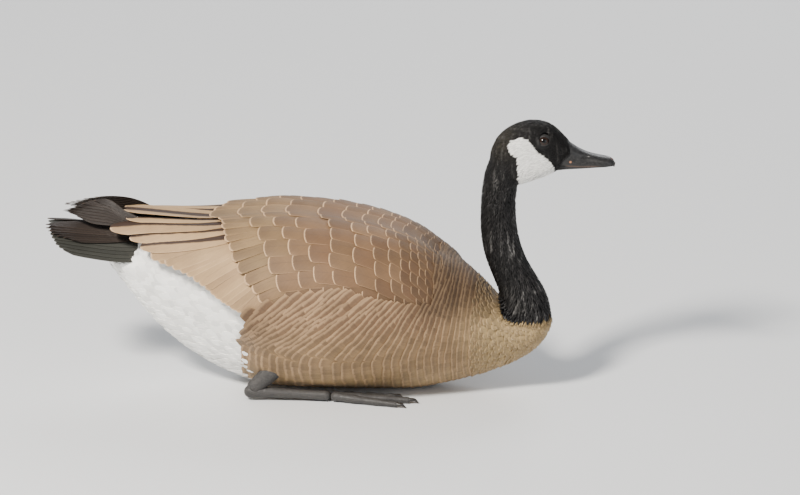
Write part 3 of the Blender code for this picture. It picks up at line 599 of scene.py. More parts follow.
@dataclass(frozen=True)
class Horn:
    """The finish of bill, nails, claws and scaly skin."""

    name: str
    body: Colour
    worn: Colour
    roughness: float
    scale: float
    relief: float
    scales: bool = False
    spots: tuple[tuple[Triple, float, Colour], ...] = ()
    lip: Colour = (0.13, 0.075, 0.048)
    lip_share: float = 0.55
    spot_share: float = 0.8
    spot_dulling: float = 0.45

    def material(self, effects: Effects) -> Material:
        """Build the material.

        Args:
            effects: The shared node groups.

        Returns:
            The new material.
        """
        material, nodes, shader = started(self.name)
        place = nodes.here()
        grain = nodes.noise(place, self.scale, 5.0, 0.65)
        mottle = nodes.group(effects.mottle, {"Scale": 90.0, "Amount": 0.5})["Factor"]
        colour = nodes.mix(nodes.times(nodes.span(grain, 0.5, 0.75), mottle), self.body, self.worn)
        height = grain
        if self.scales:
            cells = nodes.add("ShaderNodeTexVoronoi", {"Vector": place, "Scale": self.scale})
            cells.feature = "DISTANCE_TO_EDGE"
            height = nodes.span(cells.outputs[0], 0.0, 0.12)
            colour = nodes.mix(nodes.span(cells.outputs[0], 0.1, 0.0, 0.0, 0.7), colour, self.worn)
        colour = nodes.mix(nodes.times(nodes.carried("Lip"), self.lip_share), colour, self.lip)
        dull = 0.0
        # Spots mix in their colour: orange marks, painted shade in hollows and corners, and a painted glint.
        for centre, radius, spot in self.spots:
            away = nodes.add("ShaderNodeVectorMath", {0: place, 1: centre}, operation="DISTANCE")
            away = nodes.scaled(grain, radius * 0.8, away.outputs["Value"])
            near = nodes.span(away, radius * 1.6, radius * 0.9)
            colour = nodes.mix(nodes.times(near, self.spot_share), colour, spot)
            dull = nodes.math("MAXIMUM", dull, near)
        rough = nodes.span(grain, 0.3, 0.7, self.roughness - 0.08, self.roughness + 0.12)
        nodes.put(shader, {"Base Color": colour, "Roughness": nodes.scaled(dull, self.spot_dulling, rough)})
        nodes.bump(shader, self.relief, height)
        return material


@dataclass(frozen=True)
class EyeGlaze:
    """The finish of the eyeball, dark brown with a black pupil under a clear wet coat."""

    iris: Colour = (0.024, 0.01, 0.005)
    rim: Colour = (0.006, 0.004, 0.003)
    pupil: Colour = (0.002, 0.002, 0.002)
    pupil_edge: float = 0.9
    specular: float = 0.15
    coat: float = 0.4
    coat_roughness: float = 0.02

    def material(self) -> Material:
        """Build the material, whose gaze attribute is 1 in the middle of the pupil.

        Returns:
            The new material.
        """
        material, nodes, shader = started("eye_glaze")
        gaze = nodes.carried("Gaze")
        streaks = nodes.noise(nodes.here(), 1500.0, 2.0)
        iris = nodes.mix(nodes.span(streaks, 0.35, 0.7), self.iris, self.rim)
        colour = nodes.mix(nodes.span(gaze, 0.55, 0.7), self.rim, iris)
        colour = nodes.mix(nodes.span(gaze, self.pupil_edge, self.pupil_edge + 0.02), colour, self.pupil)
        nodes.put(shader, {"Base Color": colour, "Roughness": nodes.span(streaks, 0.0, 1.0, 0.06, 0.1)})
        shader.inputs["Specular IOR Level"].default_value = self.specular
        shader.inputs["Coat Weight"].default_value = self.coat
        shader.inputs["Coat Roughness"].default_value = self.coat_roughness
        return material


@dataclass(frozen=True)
class Vane:
    """The build of one kind of feather."""

    along: int
    across: int
    outline: Stations
    tip_round: float
    thickness: float
    crown: float = 0.06
    droop: float = 0.0

    def grid(self) -> tuple[Array, Array, Array]:
        """The feather's points, as shares of its length and of its half width.

        Returns:
            Length shares and side shares of each point, and each column's place from -1 to 1.
        """
        run = np.linspace(0.0, 1.0, self.along)[:, None]
        column = np.linspace(-1.0, 1.0, self.across)[None, :]
        column = np.sign(column) * np.abs(column) ** 0.8
        length = run * (1 - self.tip_round * np.abs(column) ** 2.4)
        return length, column * curve(self.outline, run), np.broadcast_to(column, length.shape)

    def lifts(self, low: Array, high: Array, roll: Array, width: Array) -> Array:
        """How high each point of each feather lies over its surface.

        Args:
            low: Height of the roots.
            high: Height of the tips.
            roll: How much higher one edge lies than the middle.
            width: The feathers' widths.

        Returns:
            Heights as (feather, along, across).
        """
        run, _, column = self.grid()
        wide = np.asarray(width)[:, None, None]
        rise = np.asarray(low)[:, None, None] * (1 - run) + np.asarray(high)[:, None, None] * run
        crown = self.crown * wide * (0.5 - column ** 2) * run
        return rise + crown + np.asarray(roll)[:, None, None] * column * run - self.droop * wide * run ** 6


CONTOUR = Vane(9, 5, ((0, 0.45), (0.3, 0.85), (0.6, 1), (0.88, 0.92), (1, 0.62)), 0.16, 0.0004, 0.07)
SIDE = Vane(8, 5, ((0, 0.45), (0.35, 0.85), (0.7, 1), (0.92, 1), (1, 0.9)), 0.06, 0.0004, 0.014, 0.007)
DOWNY = Vane(7, 5, ((0, 0.45), (0.35, 0.9), (0.7, 1), (0.9, 0.85), (1, 0.5)), 0.2, 0.0003, 0.06)
COVERT = Vane(11, 9, ((0, 0.6), (0.3, 0.95), (0.6, 1), (0.92, 0.99), (1, 0.88)), 0.06, 0.00045, 0.05, 0.03)
FLIGHT = Vane(17, 9, ((0, 0.45), (0.25, 0.85), (0.6, 1), (0.88, 0.92), (1, 0.55)), 0.05, 0.0005, 0.05)
QUILL = Vane(17, 7, ((0, 0.6), (0.25, 0.9), (0.6, 1), (0.93, 0.95), (1, 0.78)), 0.03, 0.00045, 0.04)
PINION = Vane(
    17, 7, ((0, 0.7), (0.4, 1), (0.7, 0.98), (0.9, 0.8), (0.97, 0.55), (1, 0.25)), 0.03, 0.0005, 0.04)
RUDDER = Vane(15, 7, ((0, 0.7), (0.4, 0.95), (0.8, 1), (0.96, 0.9), (1, 0.6)), 0.04, 0.0005, 0.03)
HAIRLIKE = Vane(3, 3, ((0, 0.7), (0.5, 1), (1, 0.35)), 0.15, 0.00012, 0.16)


@dataclass(frozen=True)
class Unwrap:
    """An unwrap of the skin round a line from tail to bill: how far along it, and the angle round it."""

    line: Stations = ((-0.3, 0.155), (-0.1, 0.1), (0.11, 0.088), (0.185, 0.092), (0.182, 0.15),
                      (0.177, 0.205), (0.188, 0.25), (0.3, 0.262))
    margin: float = 0.01
    patch: float = 0.003

    def at(self, points: Array) -> Array:
        """The place of each point on the unwrap.

        Args:
            points: Rows of x, y, z.

        Returns:
            Shares along the line and round it, from 0 to 1.
        """
        line = np.array(self.line)
        step = np.diff(line, axis=0)
        length = np.linalg.norm(step, axis=1)
        start = np.concatenate([[0.0], np.cumsum(length)])
        flat = points[:, None, [0, 2]] - line[None, :-1]
        share = np.clip((flat * step).sum(-1) / length ** 2, 0.0, 1.0)
        off = flat - share[..., None] * step
        nearest = np.abs((off ** 2).sum(-1)).argmin(axis=1)
        pick = np.arange(len(points))
        off = off[pick, nearest]
        side = step[nearest] / length[nearest, None]
        height = off[:, 1] * side[:, 0] - off[:, 0] * side[:, 1]
        turn = np.arctan2(points[:, 1], height) / math.tau + 0.5
        station = (start[nearest] + share[pick, nearest] * length[nearest]) / start[-1]
        return self.margin + (1 - 2 * self.margin) * np.stack([station, turn], axis=-1)


def toned(tone: Array) -> Array:
    """Marks of feathers without markings, each with its tone."""
    marks = np.zeros((len(tone), 4))
    marks[:, 3] = tone
    return marks


class Coat:
    """Feathers of one piece, each a thin closed vane."""

    def __init__(self, name: str, unwrap: Unwrap) -> None:
        """Start an empty coat."""
        self.name = name
        self.unwrap = unwrap
        self.batches: list[tuple[Vane, Array, Array, Array]] = []

    def add(self, vane: Vane, top: Array, up: Array, marks: Array) -> None:
        """Add feathers.

        Args:
            vane: Their build.
            top: Points of their upper faces as (feather, along, across, xyz).
            up: The outward directions there.
            marks: Four marks a feather: tan, white, black and tone.
        """
        if len(top):
            self.batches.append((vane, top, up, marks))

    def build(self, sharp: float | None = CRISP) -> Piece:
        """Make the coat's mesh, with its vane map, its bake map and its marks.

        Args:
            sharp: The angle in degrees above which an edge stays crisp.

        Returns:
            The new object.
        """
        points, faces, vane_uv, bake_uv, marks, first = [], [], [], [], [], 0
        for vane, top, up, mark in self.batches:
            top, up, swapped = self.turned_out(top, up)
            count, size = len(top), vane.along * vane.across
            under = top - up * vane.thickness
            points.append(np.stack([top, under], axis=1).reshape(-1, 3))
            corners = self.corners(vane)
            shift = first + 2 * size * np.arange(count)
            faces.append((corners[None] + shift[:, None, None]).reshape(-1, 4))
            first += 2 * size * count
            run, _, column = vane.grid()
            run = np.broadcast_to(np.linspace(0, 1, vane.along)[:, None], run.shape)
            column = np.where(swapped[:, None, None], -column, column)
            shares = np.stack([column * 0.5 + 0.5, np.broadcast_to(run, column.shape)], axis=-1)
            shares = np.tile(shares.reshape(count, size, 2), (1, 2, 1))
            at = self.unwrap.at(top[:, 0, vane.across // 2])
            vane_uv.append(shares[:, corners.ravel()].reshape(-1, 2))
            spot = at[:, None] + (shares - 0.5) * self.unwrap.patch
            bake_uv.append(spot[:, corners.ravel()].reshape(-1, 2))
            marks.append(np.repeat(mark, 2 * size, axis=0))
        piece = mesh_piece(self.name, np.concatenate(points), np.concatenate(faces), sharp)
        for label, values in ((VANE_MAP, vane_uv), (BAKE_MAP, bake_uv)):
            layer = piece.data.uv_layers.new(name=label)
            layer.uv.foreach_set("vector", np.concatenate(values).astype(np.float32).ravel())
        store(piece.data, MARKS, np.concatenate(marks))
        return piece

    @staticmethod
    def turned_out(top: Array, up: Array) -> tuple[Array, Array, Array]:
        """Turn feathers whose columns run the wrong way, so that their faces point out.

        Args:
            top: Points of the upper faces.
            up: The outward directions there.

        Returns:
            Points, directions, and which feathers were turned.
        """
        along = top[:, -1, 0] - top[:, 0, 0]
        across = top[:, top.shape[1] // 2, -1] - top[:, top.shape[1] // 2, 0]
        middle = up[:, up.shape[1] // 2, up.shape[2] // 2]
        swapped = (np.cross(along, across) * middle).sum(-1) < 0
        top = np.where(swapped[:, None, None, None], top[:, :, ::-1], top)
        up = np.where(swapped[:, None, None, None], up[:, :, ::-1], up)
        return top, up, swapped

    @staticmethod
    def corners(vane: Vane) -> Array:
        """Corner numbers of one closed feather: upper face, lower face and rim.

        Args:
            vane: The feather's build.

        Returns:
            Four corner numbers a face.
        """
        rows, columns = vane.along, vane.across
        size = rows * columns
        top = grid_faces(rows, columns)
        number = np.arange(size).reshape(rows, columns)
        rim = np.concatenate([number[0, :-1], number[:-1, -1], number[-1, :0:-1], number[:0:-1, 0]])
        ahead = np.roll(rim, -1)
        edge = np.stack([rim, ahead, ahead + size, rim + size], axis=-1)
        return np.concatenate([top, top[:, ::-1] + size, edge])


@dataclass
class WingSheet:
    """The outer face of the left folded wing, measured in x and in arc from the spine down its side."""

    ridge: Stations = (
        (-0.24, 0.1815), (-0.2, 0.1835), (-0.14, 0.1845), (-0.085, 0.19), (-0.05, 0.1932), (-0.02, 0.1925),
        (0.03, 0.187), (0.065, 0.1795), (0.088, 0.171), (0.107, 0.16), (0.126, 0.1472), (0.14, 0.137))
    half_width: Stations = (
        (-0.24, 0.03), (-0.206, 0.042), (-0.184, 0.052), (-0.16, 0.062), (-0.135, 0.074), (-0.104, 0.089),
        (-0.082, 0.097), (-0.04, 0.1045), (0.0, 0.1055), (0.04, 0.0985), (0.08, 0.083), (0.107, 0.0715),
        (0.126, 0.062), (0.14, 0.0555))
    waist: Stations = (
        (-0.235, 0.136), (-0.2, 0.13), (-0.16, 0.12), (-0.12, 0.108), (-0.08, 0.098), (-0.02, 0.09),
        (0.06, 0.085), (0.13, 0.078))
    lower_edge: Stations = (
        (-0.24, 0.176), (-0.206, 0.167), (-0.184, 0.157), (-0.16, 0.15), (-0.135, 0.139), (-0.104, 0.118),
        (-0.082, 0.108), (-0.04, 0.122), (0.017, 0.133), (0.045, 0.124), (0.08, 0.117), (0.107, 0.114),
        (0.126, 0.126))
    fullness: float = 2.5
    groove_depth: float = 0.005
    groove_width: float = 0.016
    ends: Pair = (-0.275, 0.14)
    rings: int = 210
    turns: int = 61
    arcs: int = 161
    arc_end: float = 0.2

    def __post_init__(self) -> None:
        """Tabulate the sheet and its outward directions."""
        self.x = np.linspace(*self.ends, self.rings)
        self.arc = np.linspace(0.0, self.arc_end, self.arcs)
        table = np.zeros((self.rings, self.arcs, 3))
        reach = np.zeros(self.rings)
        turn = np.linspace(0.0, math.pi / 2, self.turns)
        for k, x in enumerate(self.x):
            waist, half = curve(self.waist, x), curve(self.half_width, x)
            y = half * np.sin(turn) ** (2 / self.fullness)
            z = waist + (curve(self.ridge, x) - waist) * np.cos(turn) ** (2 / self.fullness)
            z = z - self.groove_depth * np.exp(-((y / self.groove_width) ** 2))
            y, z = np.append(y, y[-1]), np.append(z, z[-1] - self.arc_end)
            walked = np.concatenate([[0.0], np.cumsum(np.hypot(np.diff(y), np.diff(z)))])
            table[k] = np.stack([np.full(self.arcs, x), np.interp(self.arc, walked, y),
                                 np.interp(self.arc, walked, z)], axis=-1)
            low = (table[k, :, 1] > 1.5 * self.groove_width) & (table[k, :, 2] <= curve(self.lower_edge, x))
            reach[k] = self.arc[low.argmax()]
        down, back = np.gradient(table, axis=1), np.gradient(table, axis=0)
        self.table = table
        self.reaches = reach
        self.up = unit(np.cross(back, down))
        self.up *= np.sign(self.up[:, :, 1:].sum(-1, keepdims=True))

    def reach(self, x: Array | float) -> Array:
        """How far it is round the wing at x, from the spine to its lower edge."""
        return np.interp(x, self.x, self.reaches)

    def clear(self, points: Array, gap: float) -> Array:
        """Push points near the wing's lower edge out until they lie over its feathers.

        Args:
            points: Points on either side.
            gap: How far over the sheet they have to lie.

        Returns:
            The moved points.
        """
        x, y, z = np.moveaxis(points, -1, 0)
        waist = curve(self.waist, x)
        rise = np.clip((z - waist) / (curve(self.ridge, x) - waist), 0.0, 1.0)
        gap = curve(((0.08, gap), (0.125, 0.8 * gap), (0.142, 0.15 * gap)), x)
        outer = curve(self.half_width, x) * (1 - rise ** self.fullness) ** (1 / self.fullness) + gap
        near = ease(-0.055, -0.006, z - curve(self.lower_edge, x))
        near = near * ease(-0.128, -0.112, x) * ease(0.142, 0.128, x) * ease(0.02, 0.035, np.abs(y))
        moved = points.copy()
        moved[..., 1] += np.where(y < 0, -1, 1) * near * np.maximum(outer - np.abs(y), 0.0)
        return moved

    def at(self, x: Array, arc: Array) -> tuple[Array, Array]:
        """Points of the sheet and the outward directions there.

        Args:
            x: Places along the goose.
            arc: Places round the wing, less than 0 across the spine.

        Returns:
            Points and directions.
        """
        row = np.clip((x - self.x[0]) / (self.x[1] - self.x[0]), 0, self.rings - 1.001)
        column = np.clip(np.abs(arc) / self.arc[1], 0, self.arcs - 1.001)
        r, c = row.astype(int), column.astype(int)
        fr, fc = (row - r)[..., None], (column - c)[..., None]
        both = []
        for table in (self.table, self.up):
            near = table[r, c] * (1 - fc) + table[r, c + 1] * fc
            far = table[r + 1, c] * (1 - fc) + table[r + 1, c + 1] * fc
            value = near * (1 - fr) + far * fr
            value[..., 1] *= np.where(arc < 0, -1, 1)
            both.append(value)
        return both[0], unit(both[1])


@dataclass(frozen=True)
class Tier:
    """A row of wing feathers. Its tips lie on a line of (share round the wing, x)."""

    tips: Stations
    count: int
    heading: Pair
    length: Pair
    width: Pair
    lift: Pair
    vane: Vane = COVERT
    roll: float = 0.0006
    uneven: float = 0.0012


@dataclass
class Wings:
    """The folded wings: mantle, scapulars, coverts, secondaries and tertials."""

    sheet: WingSheet
    unwrap: Unwrap
    seed: int = 11
    secondaries: tuple[Tier, ...] = (
        Tier(((0.98, -0.08), (1.02, -0.132), (1.05, -0.184)), 17, (44, 3), (0.05, 0.105), (0.0165, 0.018),
             (-0.003, -0.0002), QUILL, 0.0011, 0.0006),
    )
    tertials: tuple[Tier, ...] = (
        Tier(((1.0, -0.206), (1.03, -0.194)), 2, (-2, -4), (0.11, 0.1), (0.0205, 0.0205), (-0.0012, 0.001),
             FLIGHT, 0.0012),
        Tier(((0.46, -0.212), (0.97, -0.2275)), 2, (-1, -3), (0.105, 0.12), (0.018, 0.0225),
             (-0.0004, 0.0034), FLIGHT, 0.0016),
        Tier(((0.15, -0.215), (0.4, -0.215)), 1, (0, 0), (0.11, 0.11), (0.0195, 0.0195), (0.0004, 0.0088),
             FLIGHT, 0.0004),
    )
    spine_width: float = 0.0245
    spine_lift: float = 0.0007
    tucked: float = 0.4
    sunk: float = 0.0035
    coverts: tuple[Tier, ...] = (
        Tier(((0.1, -0.122), (0.2, -0.1129), (0.43, -0.1058), (0.62, -0.0941), (0.85, -0.0705),
              (0.97, -0.062)), 13, (0, 24), (0.058, 0.046), (0.0165, 0.015), (0.0, 0.0024), COVERT, 0.001),
        Tier(((0.1, -0.094), (0.33, -0.0728), (0.52, -0.0634), (0.73, -0.054), (0.96, -0.038)),
             7, (0, 10), (0.05, 0.042), (0.025, 0.022), (0.0004, 0.003)),
        Tier(((0.12, -0.068), (0.3, -0.054), (0.5, -0.0398), (0.73, -0.0304), (0.96, -0.013)),
             7, (0, 8), (0.048, 0.04), (0.024, 0.022), (0.0004, 0.003)),
        Tier(((0.1, -0.042), (0.3, -0.0327), (0.53, -0.017), (0.68, -0.015), (0.85, -0.0068), (0.96, 0.001)),
             6, (0, 6), (0.046, 0.038), (0.025, 0.023), (0.0004, 0.0029)),
        Tier(((0.12, -0.01), (0.33, 0.0026), (0.73, 0.0074), (0.96, 0.021)),
             7, (0, 4), (0.044, 0.036), (0.0225, 0.021), (0.0004, 0.0028)),
        Tier(((0.1, 0.016), (0.37, 0.0286), (0.72, 0.0309), (0.95, 0.041)),
             6, (0, 2), (0.042, 0.034), (0.0235, 0.0215), (0.0004, 0.0027)),
        Tier(((0.12, 0.037), (0.48, 0.049), (0.78, 0.054), (0.95, 0.058)),
             7, (0, 0), (0.038, 0.031), (0.02, 0.019), (0.0003, 0.0026)),
        Tier(((0.1, 0.053), (0.33, 0.064), (0.77, 0.0687), (0.94, 0.0735)),
             7, (0, -2), (0.034, 0.028), (0.019, 0.018), (0.0003, 0.0025)),
        Tier(((0.12, 0.067), (0.42, 0.0758), (0.75, 0.08), (0.93, 0.085)),
             8, (0, -4), (0.03, 0.025), (0.0165, 0.0155), (0.0003, 0.0024)),
        Tier(((0.1, 0.079), (0.4, 0.0868), (0.73, 0.089), (0.92, 0.0965)),
             8, (0, -6), (0.026, 0.022), (0.015, 0.014), (0.0002, 0.0023)),
        Tier(((0.12, 0.089), (0.4, 0.0955), (0.73, 0.0975), (0.92, 0.103)),
             9, (0, -8), (0.023, 0.02), (0.013, 0.012), (0.0002, 0.0022)),
        Tier(((0.1, 0.098), (0.4, 0.1035), (0.73, 0.1055), (0.91, 0.108)),
             9, (0, -8), (0.02, 0.017), (0.012, 0.011), (-0.0012, 0.0021)),
        Tier(((0.12, 0.106), (0.4, 0.1115), (0.73, 0.113), (0.9, 0.112)),
             9, (0, -8), (0.017, 0.014), (0.0115, 0.0105), (-0.003, 0.0019)),
        Tier(((0.14, 0.114), (0.4, 0.119), (0.7, 0.12), (0.88, 0.1155)),
             9, (0, -8), (0.014, 0.012), (0.011, 0.01), (-0.0042, 0.0017)),
    )

    def lay(self, coat: Coat, tier: Tier, side: Side, draw: Draw) -> None:
        """Add one tier of feathers of one wing to a coat, each in its own tone.

        Args:
            coat: The coat.
            tier: The tier.
            side: Which wing.
            draw: Where small differences come from.
        """
        share = np.linspace(tier.tips[0][0], tier.tips[-1][0], tier.count)
        part = np.linspace(0.0, 1.0, tier.count)
        heading, length, width = (a + (b - a) * part for a, b in (tier.heading, tier.length, tier.width))
        x = curve(tier.tips, share) + tier.uneven * draw.uniform(-1, 1, tier.count)
        slant = np.radians(heading + draw.uniform(-1.5, 1.5, tier.count))[:, None, None]
        length = length * about(draw, 0.04, tier.count)
        width = width * about(draw, 0.05, tier.count)
        run, across, _ = tier.vane.grid()
        run = (run[None] - 1) * length[:, None, None]
        across = across[None] * width[:, None, None] / 2
        place = x[:, None, None] - run * np.cos(slant) + across * np.sin(slant)
        arc = (share * self.sheet.reach(x))[:, None, None] + run * np.sin(slant) + across * np.cos(slant)
        points, up = self.sheet.at(place, arc)
        high = tier.lift[1] + 0.0002 * draw.uniform(-1, 1, tier.count)
        low = np.full(tier.count, tier.lift[0])
        if tier.vane is COVERT:
            high = high * (1 - self.tucked * ease(0.7, 0.9, share))
            low -= self.sunk * ease(0.78, 0.9, share) * ease(0.02, 0.07, x)
        lift = tier.vane.lifts(low, high, tier.roll * about(draw, 0.3, tier.count), width)
        marks = np.zeros((tier.count, 4))
        marks[:, 0] = 0.35 * ease(-0.03, -0.1, x) + 0.12 * draw.uniform(0, 1, tier.count)
        marks[:, 3] = about(draw, 0.15, tier.count) * (1 - 0.28 * ease(0.05, 0.1, x))
        coat.add(tier.vane, (points + up * lift[..., None]) * side.flip, up * side.flip, marks)

    def build(self, name: str, tiers: tuple[Tier, ...]) -> Piece:
        """Make both wings' feathers of some tiers as one piece.

        Args:
            name: The piece's name.
            tiers: The tiers, from the rearmost forward.

        Returns:
            The new object.
        """
        coat = Coat(name, self.unwrap)
        draw = np.random.default_rng(self.seed)
        for side in Side:
            for tier in tiers:
                self.lay(coat, tier, side, draw)
        return coat.build()

    def spine(self) -> Piece:
        """Make the row of feathers along the spine, which covers the gap between the wings.

        Returns:
            The new object.
        """
        coat = Coat("mantle_feathers", self.unwrap)
        draw = np.random.default_rng(self.seed + 1)
        for tier in self.coverts:
            low, high = tier.lift
            tips = ((0.0, tier.tips[0][1] - 0.004), (1.0, 0.0))
            lift = (low + self.spine_lift, high + self.spine_lift)
            width = (self.spine_width * min(1.0, tier.width[0] / 0.018 + 0.2),) * 2
            row = Tier(tips, 1, (0, 0), tier.length, width, lift, COVERT, 0.0003)
            self.lay(coat, row, Side.LEFT, draw)
        return coat.build()


@dataclass
class Primaries:
    """The closed primaries, a dark blade that comes out between the rear ends of the wings."""

    unwrap: Unwrap
    inner: tuple[Triple, ...] = (
        (-0.282, 0.01, 0.19), (-0.262, 0.006, 0.1965), (-0.2467, 0.004, 0.199), (-0.23, 0.0075, 0.1977),
        (-0.212, 0.015, 0.1935), (-0.198, 0.0185, 0.188), (-0.18, 0.0195, 0.1795), (-0.15, 0.02, 0.1715))
    outer: tuple[Triple, ...] = (
        (-0.282, 0.0135, 0.1865), (-0.262, 0.018, 0.181), (-0.2467, 0.021, 0.178), (-0.231, 0.0205, 0.1765),
        (-0.214, 0.0235, 0.1745), (-0.195, 0.0245, 0.1725), (-0.175, 0.025, 0.1705), (-0.15, 0.025, 0.168))
    feathers: Stations = (
        (-0.248, 0.1), (-0.26, 0.2), (-0.268, 0.3), (-0.274, 0.41), (-0.279, 0.52), (-0.28, 0.63),
        (-0.274, 0.74), (-0.265, 0.86))
    root: float = -0.16
    half_width: float = 0.17
    tuck: float = 0.006
    crown: float = 0.0015
    step: float = 0.0006
    seed: int = 13

    def at(self, x: Array, across: Array) -> tuple[Array, Array]:
        """Points of the left blade and the outward directions there.

        Args:
            x: Places along the goose.
            across: Shares from its upper inner edge to its lower outer edge.

        Returns:
            Points and directions.
        """
        edges = []
        for rows in (self.inner, self.outer):
            y = curve(tuple((row[0], row[1]) for row in rows), x)
            z = curve(tuple((row[0], row[2]) for row in rows), x)
            edges.append(np.stack([x, y, z], axis=-1))
        slant = edges[1] - edges[0]
        up = unit(np.stack([np.zeros_like(x), -slant[..., 2], slant[..., 1]], axis=-1))
        bow = self.crown * np.sin(np.pi * np.clip(across, 0, 1))
        return edges[0] + slant * across[..., None] + up * bow[..., None], up

    def build(self, side: Side) -> Piece:
        """Make one wing's primaries.

        Args:
            side: Which wing.

        Returns:
            The new object.
        """
        coat = Coat(f"primary_feathers_{side.word}", self.unwrap)
        draw = np.random.default_rng(self.seed + side.value)
        run, across, column = PINION.grid()
        tips = np.array(self.feathers)
        x = self.root + (tips[:, 0, None, None] - self.root) * run[None]
        place = tips[:, 1, None, None] + self.half_width * across[None]
        points, up = self.at(x, place)
        if side is Side.RIGHT:
            points[..., 2] -= self.tuck * ease(-0.234, -0.212, x) * (1 - np.clip(place, 0, 1))
        order = -self.step * np.arange(len(tips))[:, None, None]
        lift = order + 0.0007 * column[None] * run[None] - 0.0003
        top = (points + up * lift[..., None]) * side.flip
        coat.add(PINION, top, up * side.flip, toned(about(draw, 0.15, len(tips))))
        return coat.build()


@dataclass(frozen=True)
class TailFeather:
    """Where a feather on the tail starts and ends: its reach from the pivot and its turn in degrees."""

    root: Pair
    tip: Pair


@dataclass
class Tail:
    """The closed tail, a fan like a roof, steep at its root and flatter at its tips."""

    unwrap: Unwrap
    pivot: float = -0.1
    root: float = -0.192
    ridge: Stations = ((-0.3, 0.1701), (-0.26, 0.1698), (-0.23, 0.1685), (-0.19, 0.167))
    slope: Stations = ((-0.275, 0.36), (-0.235, 0.72), (-0.2, 1.1))
    spread: float = 14.2
    middle_reach: float = 0.1965
    outer_reach: float = 0.179
    crease: float = 0.004
    feathers: int = 9
    width: float = 0.015
    shingle: float = 0.001
    folded: tuple[TailFeather, ...] = (
        TailFeather((0.07, 3.4), (0.172, 9.6)), TailFeather((0.07, 3.2), (0.18, 8.9)),
        TailFeather((0.07, 3.0), (0.1865, 8.0)), TailFeather((0.07, 2.8), (0.1915, 6.8)),
        TailFeather((0.07, 2.6), (0.1955, 5.5)), TailFeather((0.07, 2.4), (0.198, 4.1)),
        TailFeather((0.07, 2.2), (0.1985, 2.6)))
    folded_width: float = 0.0125
    folded_lift: float = 0.0012
    folded_step: float = 0.0004
    folded_roll: float = 0.0006
    seed: int = 17

    def at(self, reach: Array, turn: Array) -> tuple[Array, Array]:
        """Points of the roof and the outward directions there.

        Args:
            reach: How far from the pivot each is.
            turn: Its turn to the left, in degrees.

        Returns:
            Points and directions.
        """
        angle = np.radians(turn)
        x = self.pivot - reach * np.cos(angle)
        y = reach * np.sin(angle)
        slope = curve(self.slope, x)
        rounded = np.hypot(y, self.crease)
        z = curve(self.ridge, x) - slope * (rounded - self.crease)
        up = unit(np.stack([np.zeros_like(y), slope * y / rounded, np.ones_like(y)], axis=-1))
        return np.stack([x, y, z], axis=-1), up

    def build(self) -> Piece:
        """Make the tail's feathers, the middle ones on top.

        Returns:
            The new object.
        """
        coat = Coat("tail_feathers", self.unwrap)
        draw = np.random.default_rng(self.seed)
        run, across, column = RUDDER.grid()
        for side in Side:
            turn = np.linspace(1.4, self.spread - 1.2, self.feathers)
            reach = self.middle_reach + (self.outer_reach - self.middle_reach) * (turn / self.spread) ** 2
            reach = (reach + 0.001 * draw.uniform(-1, 1, self.feathers))[:, None, None]
            start = (self.pivot - self.root) / np.cos(np.radians(turn))[:, None, None]
            out = start + (reach - start) * run[None]
            swing = np.degrees(across[None] * self.width / 2 / out)
            points, up = self.at(out, side.value * turn[:, None, None] + swing)
            outward = side.value * column[None]
            depth = 0.0004 * np.arange(self.feathers)[:, None, None]
            lift = self.shingle * outward * np.minimum(1.0, 0.4 + run[None]) - depth
            coat.add(RUDDER, points + up * lift[..., None], up, toned(about(draw, 0.2, self.feathers)))
        return coat.build()

    def folded_primaries(self, side: Side) -> Piece:
        """Make the primaries of one wing that lie on the tail, the innermost on top.

        Args:
            side: Which wing.

        Returns:
            The new object.
        """
        coat = Coat(f"folded_primaries_{side.word}", self.unwrap)
        draw = np.random.default_rng(self.seed + 2 + side.value)
        run, across, column = PINION.grid()
        count = len(self.folded)
        ends = np.array([[*feather.root, *feather.tip] for feather in self.folded])[:, :, None, None]
        reach = ends[:, 0] + (ends[:, 2] - ends[:, 0]) * run[None]
        turn = ends[:, 1] + (ends[:, 3] - ends[:, 1]) * run[None] ** 1.4
        swing = np.degrees(across[None] * self.folded_width / 2 / reach)
        points, up = self.at(reach, side.value * turn + swing)
        step = self.folded_step * np.arange(count)[:, None, None]
        roll = self.folded_roll * side.value * column[None] * run[None]
        lift = self.folded_lift + step * (1 - 0.5 * run[None]) + roll
        coat.add(PINION, points + up * lift[..., None], up, toned(about(draw, 0.22, count)))
        return coat.build()


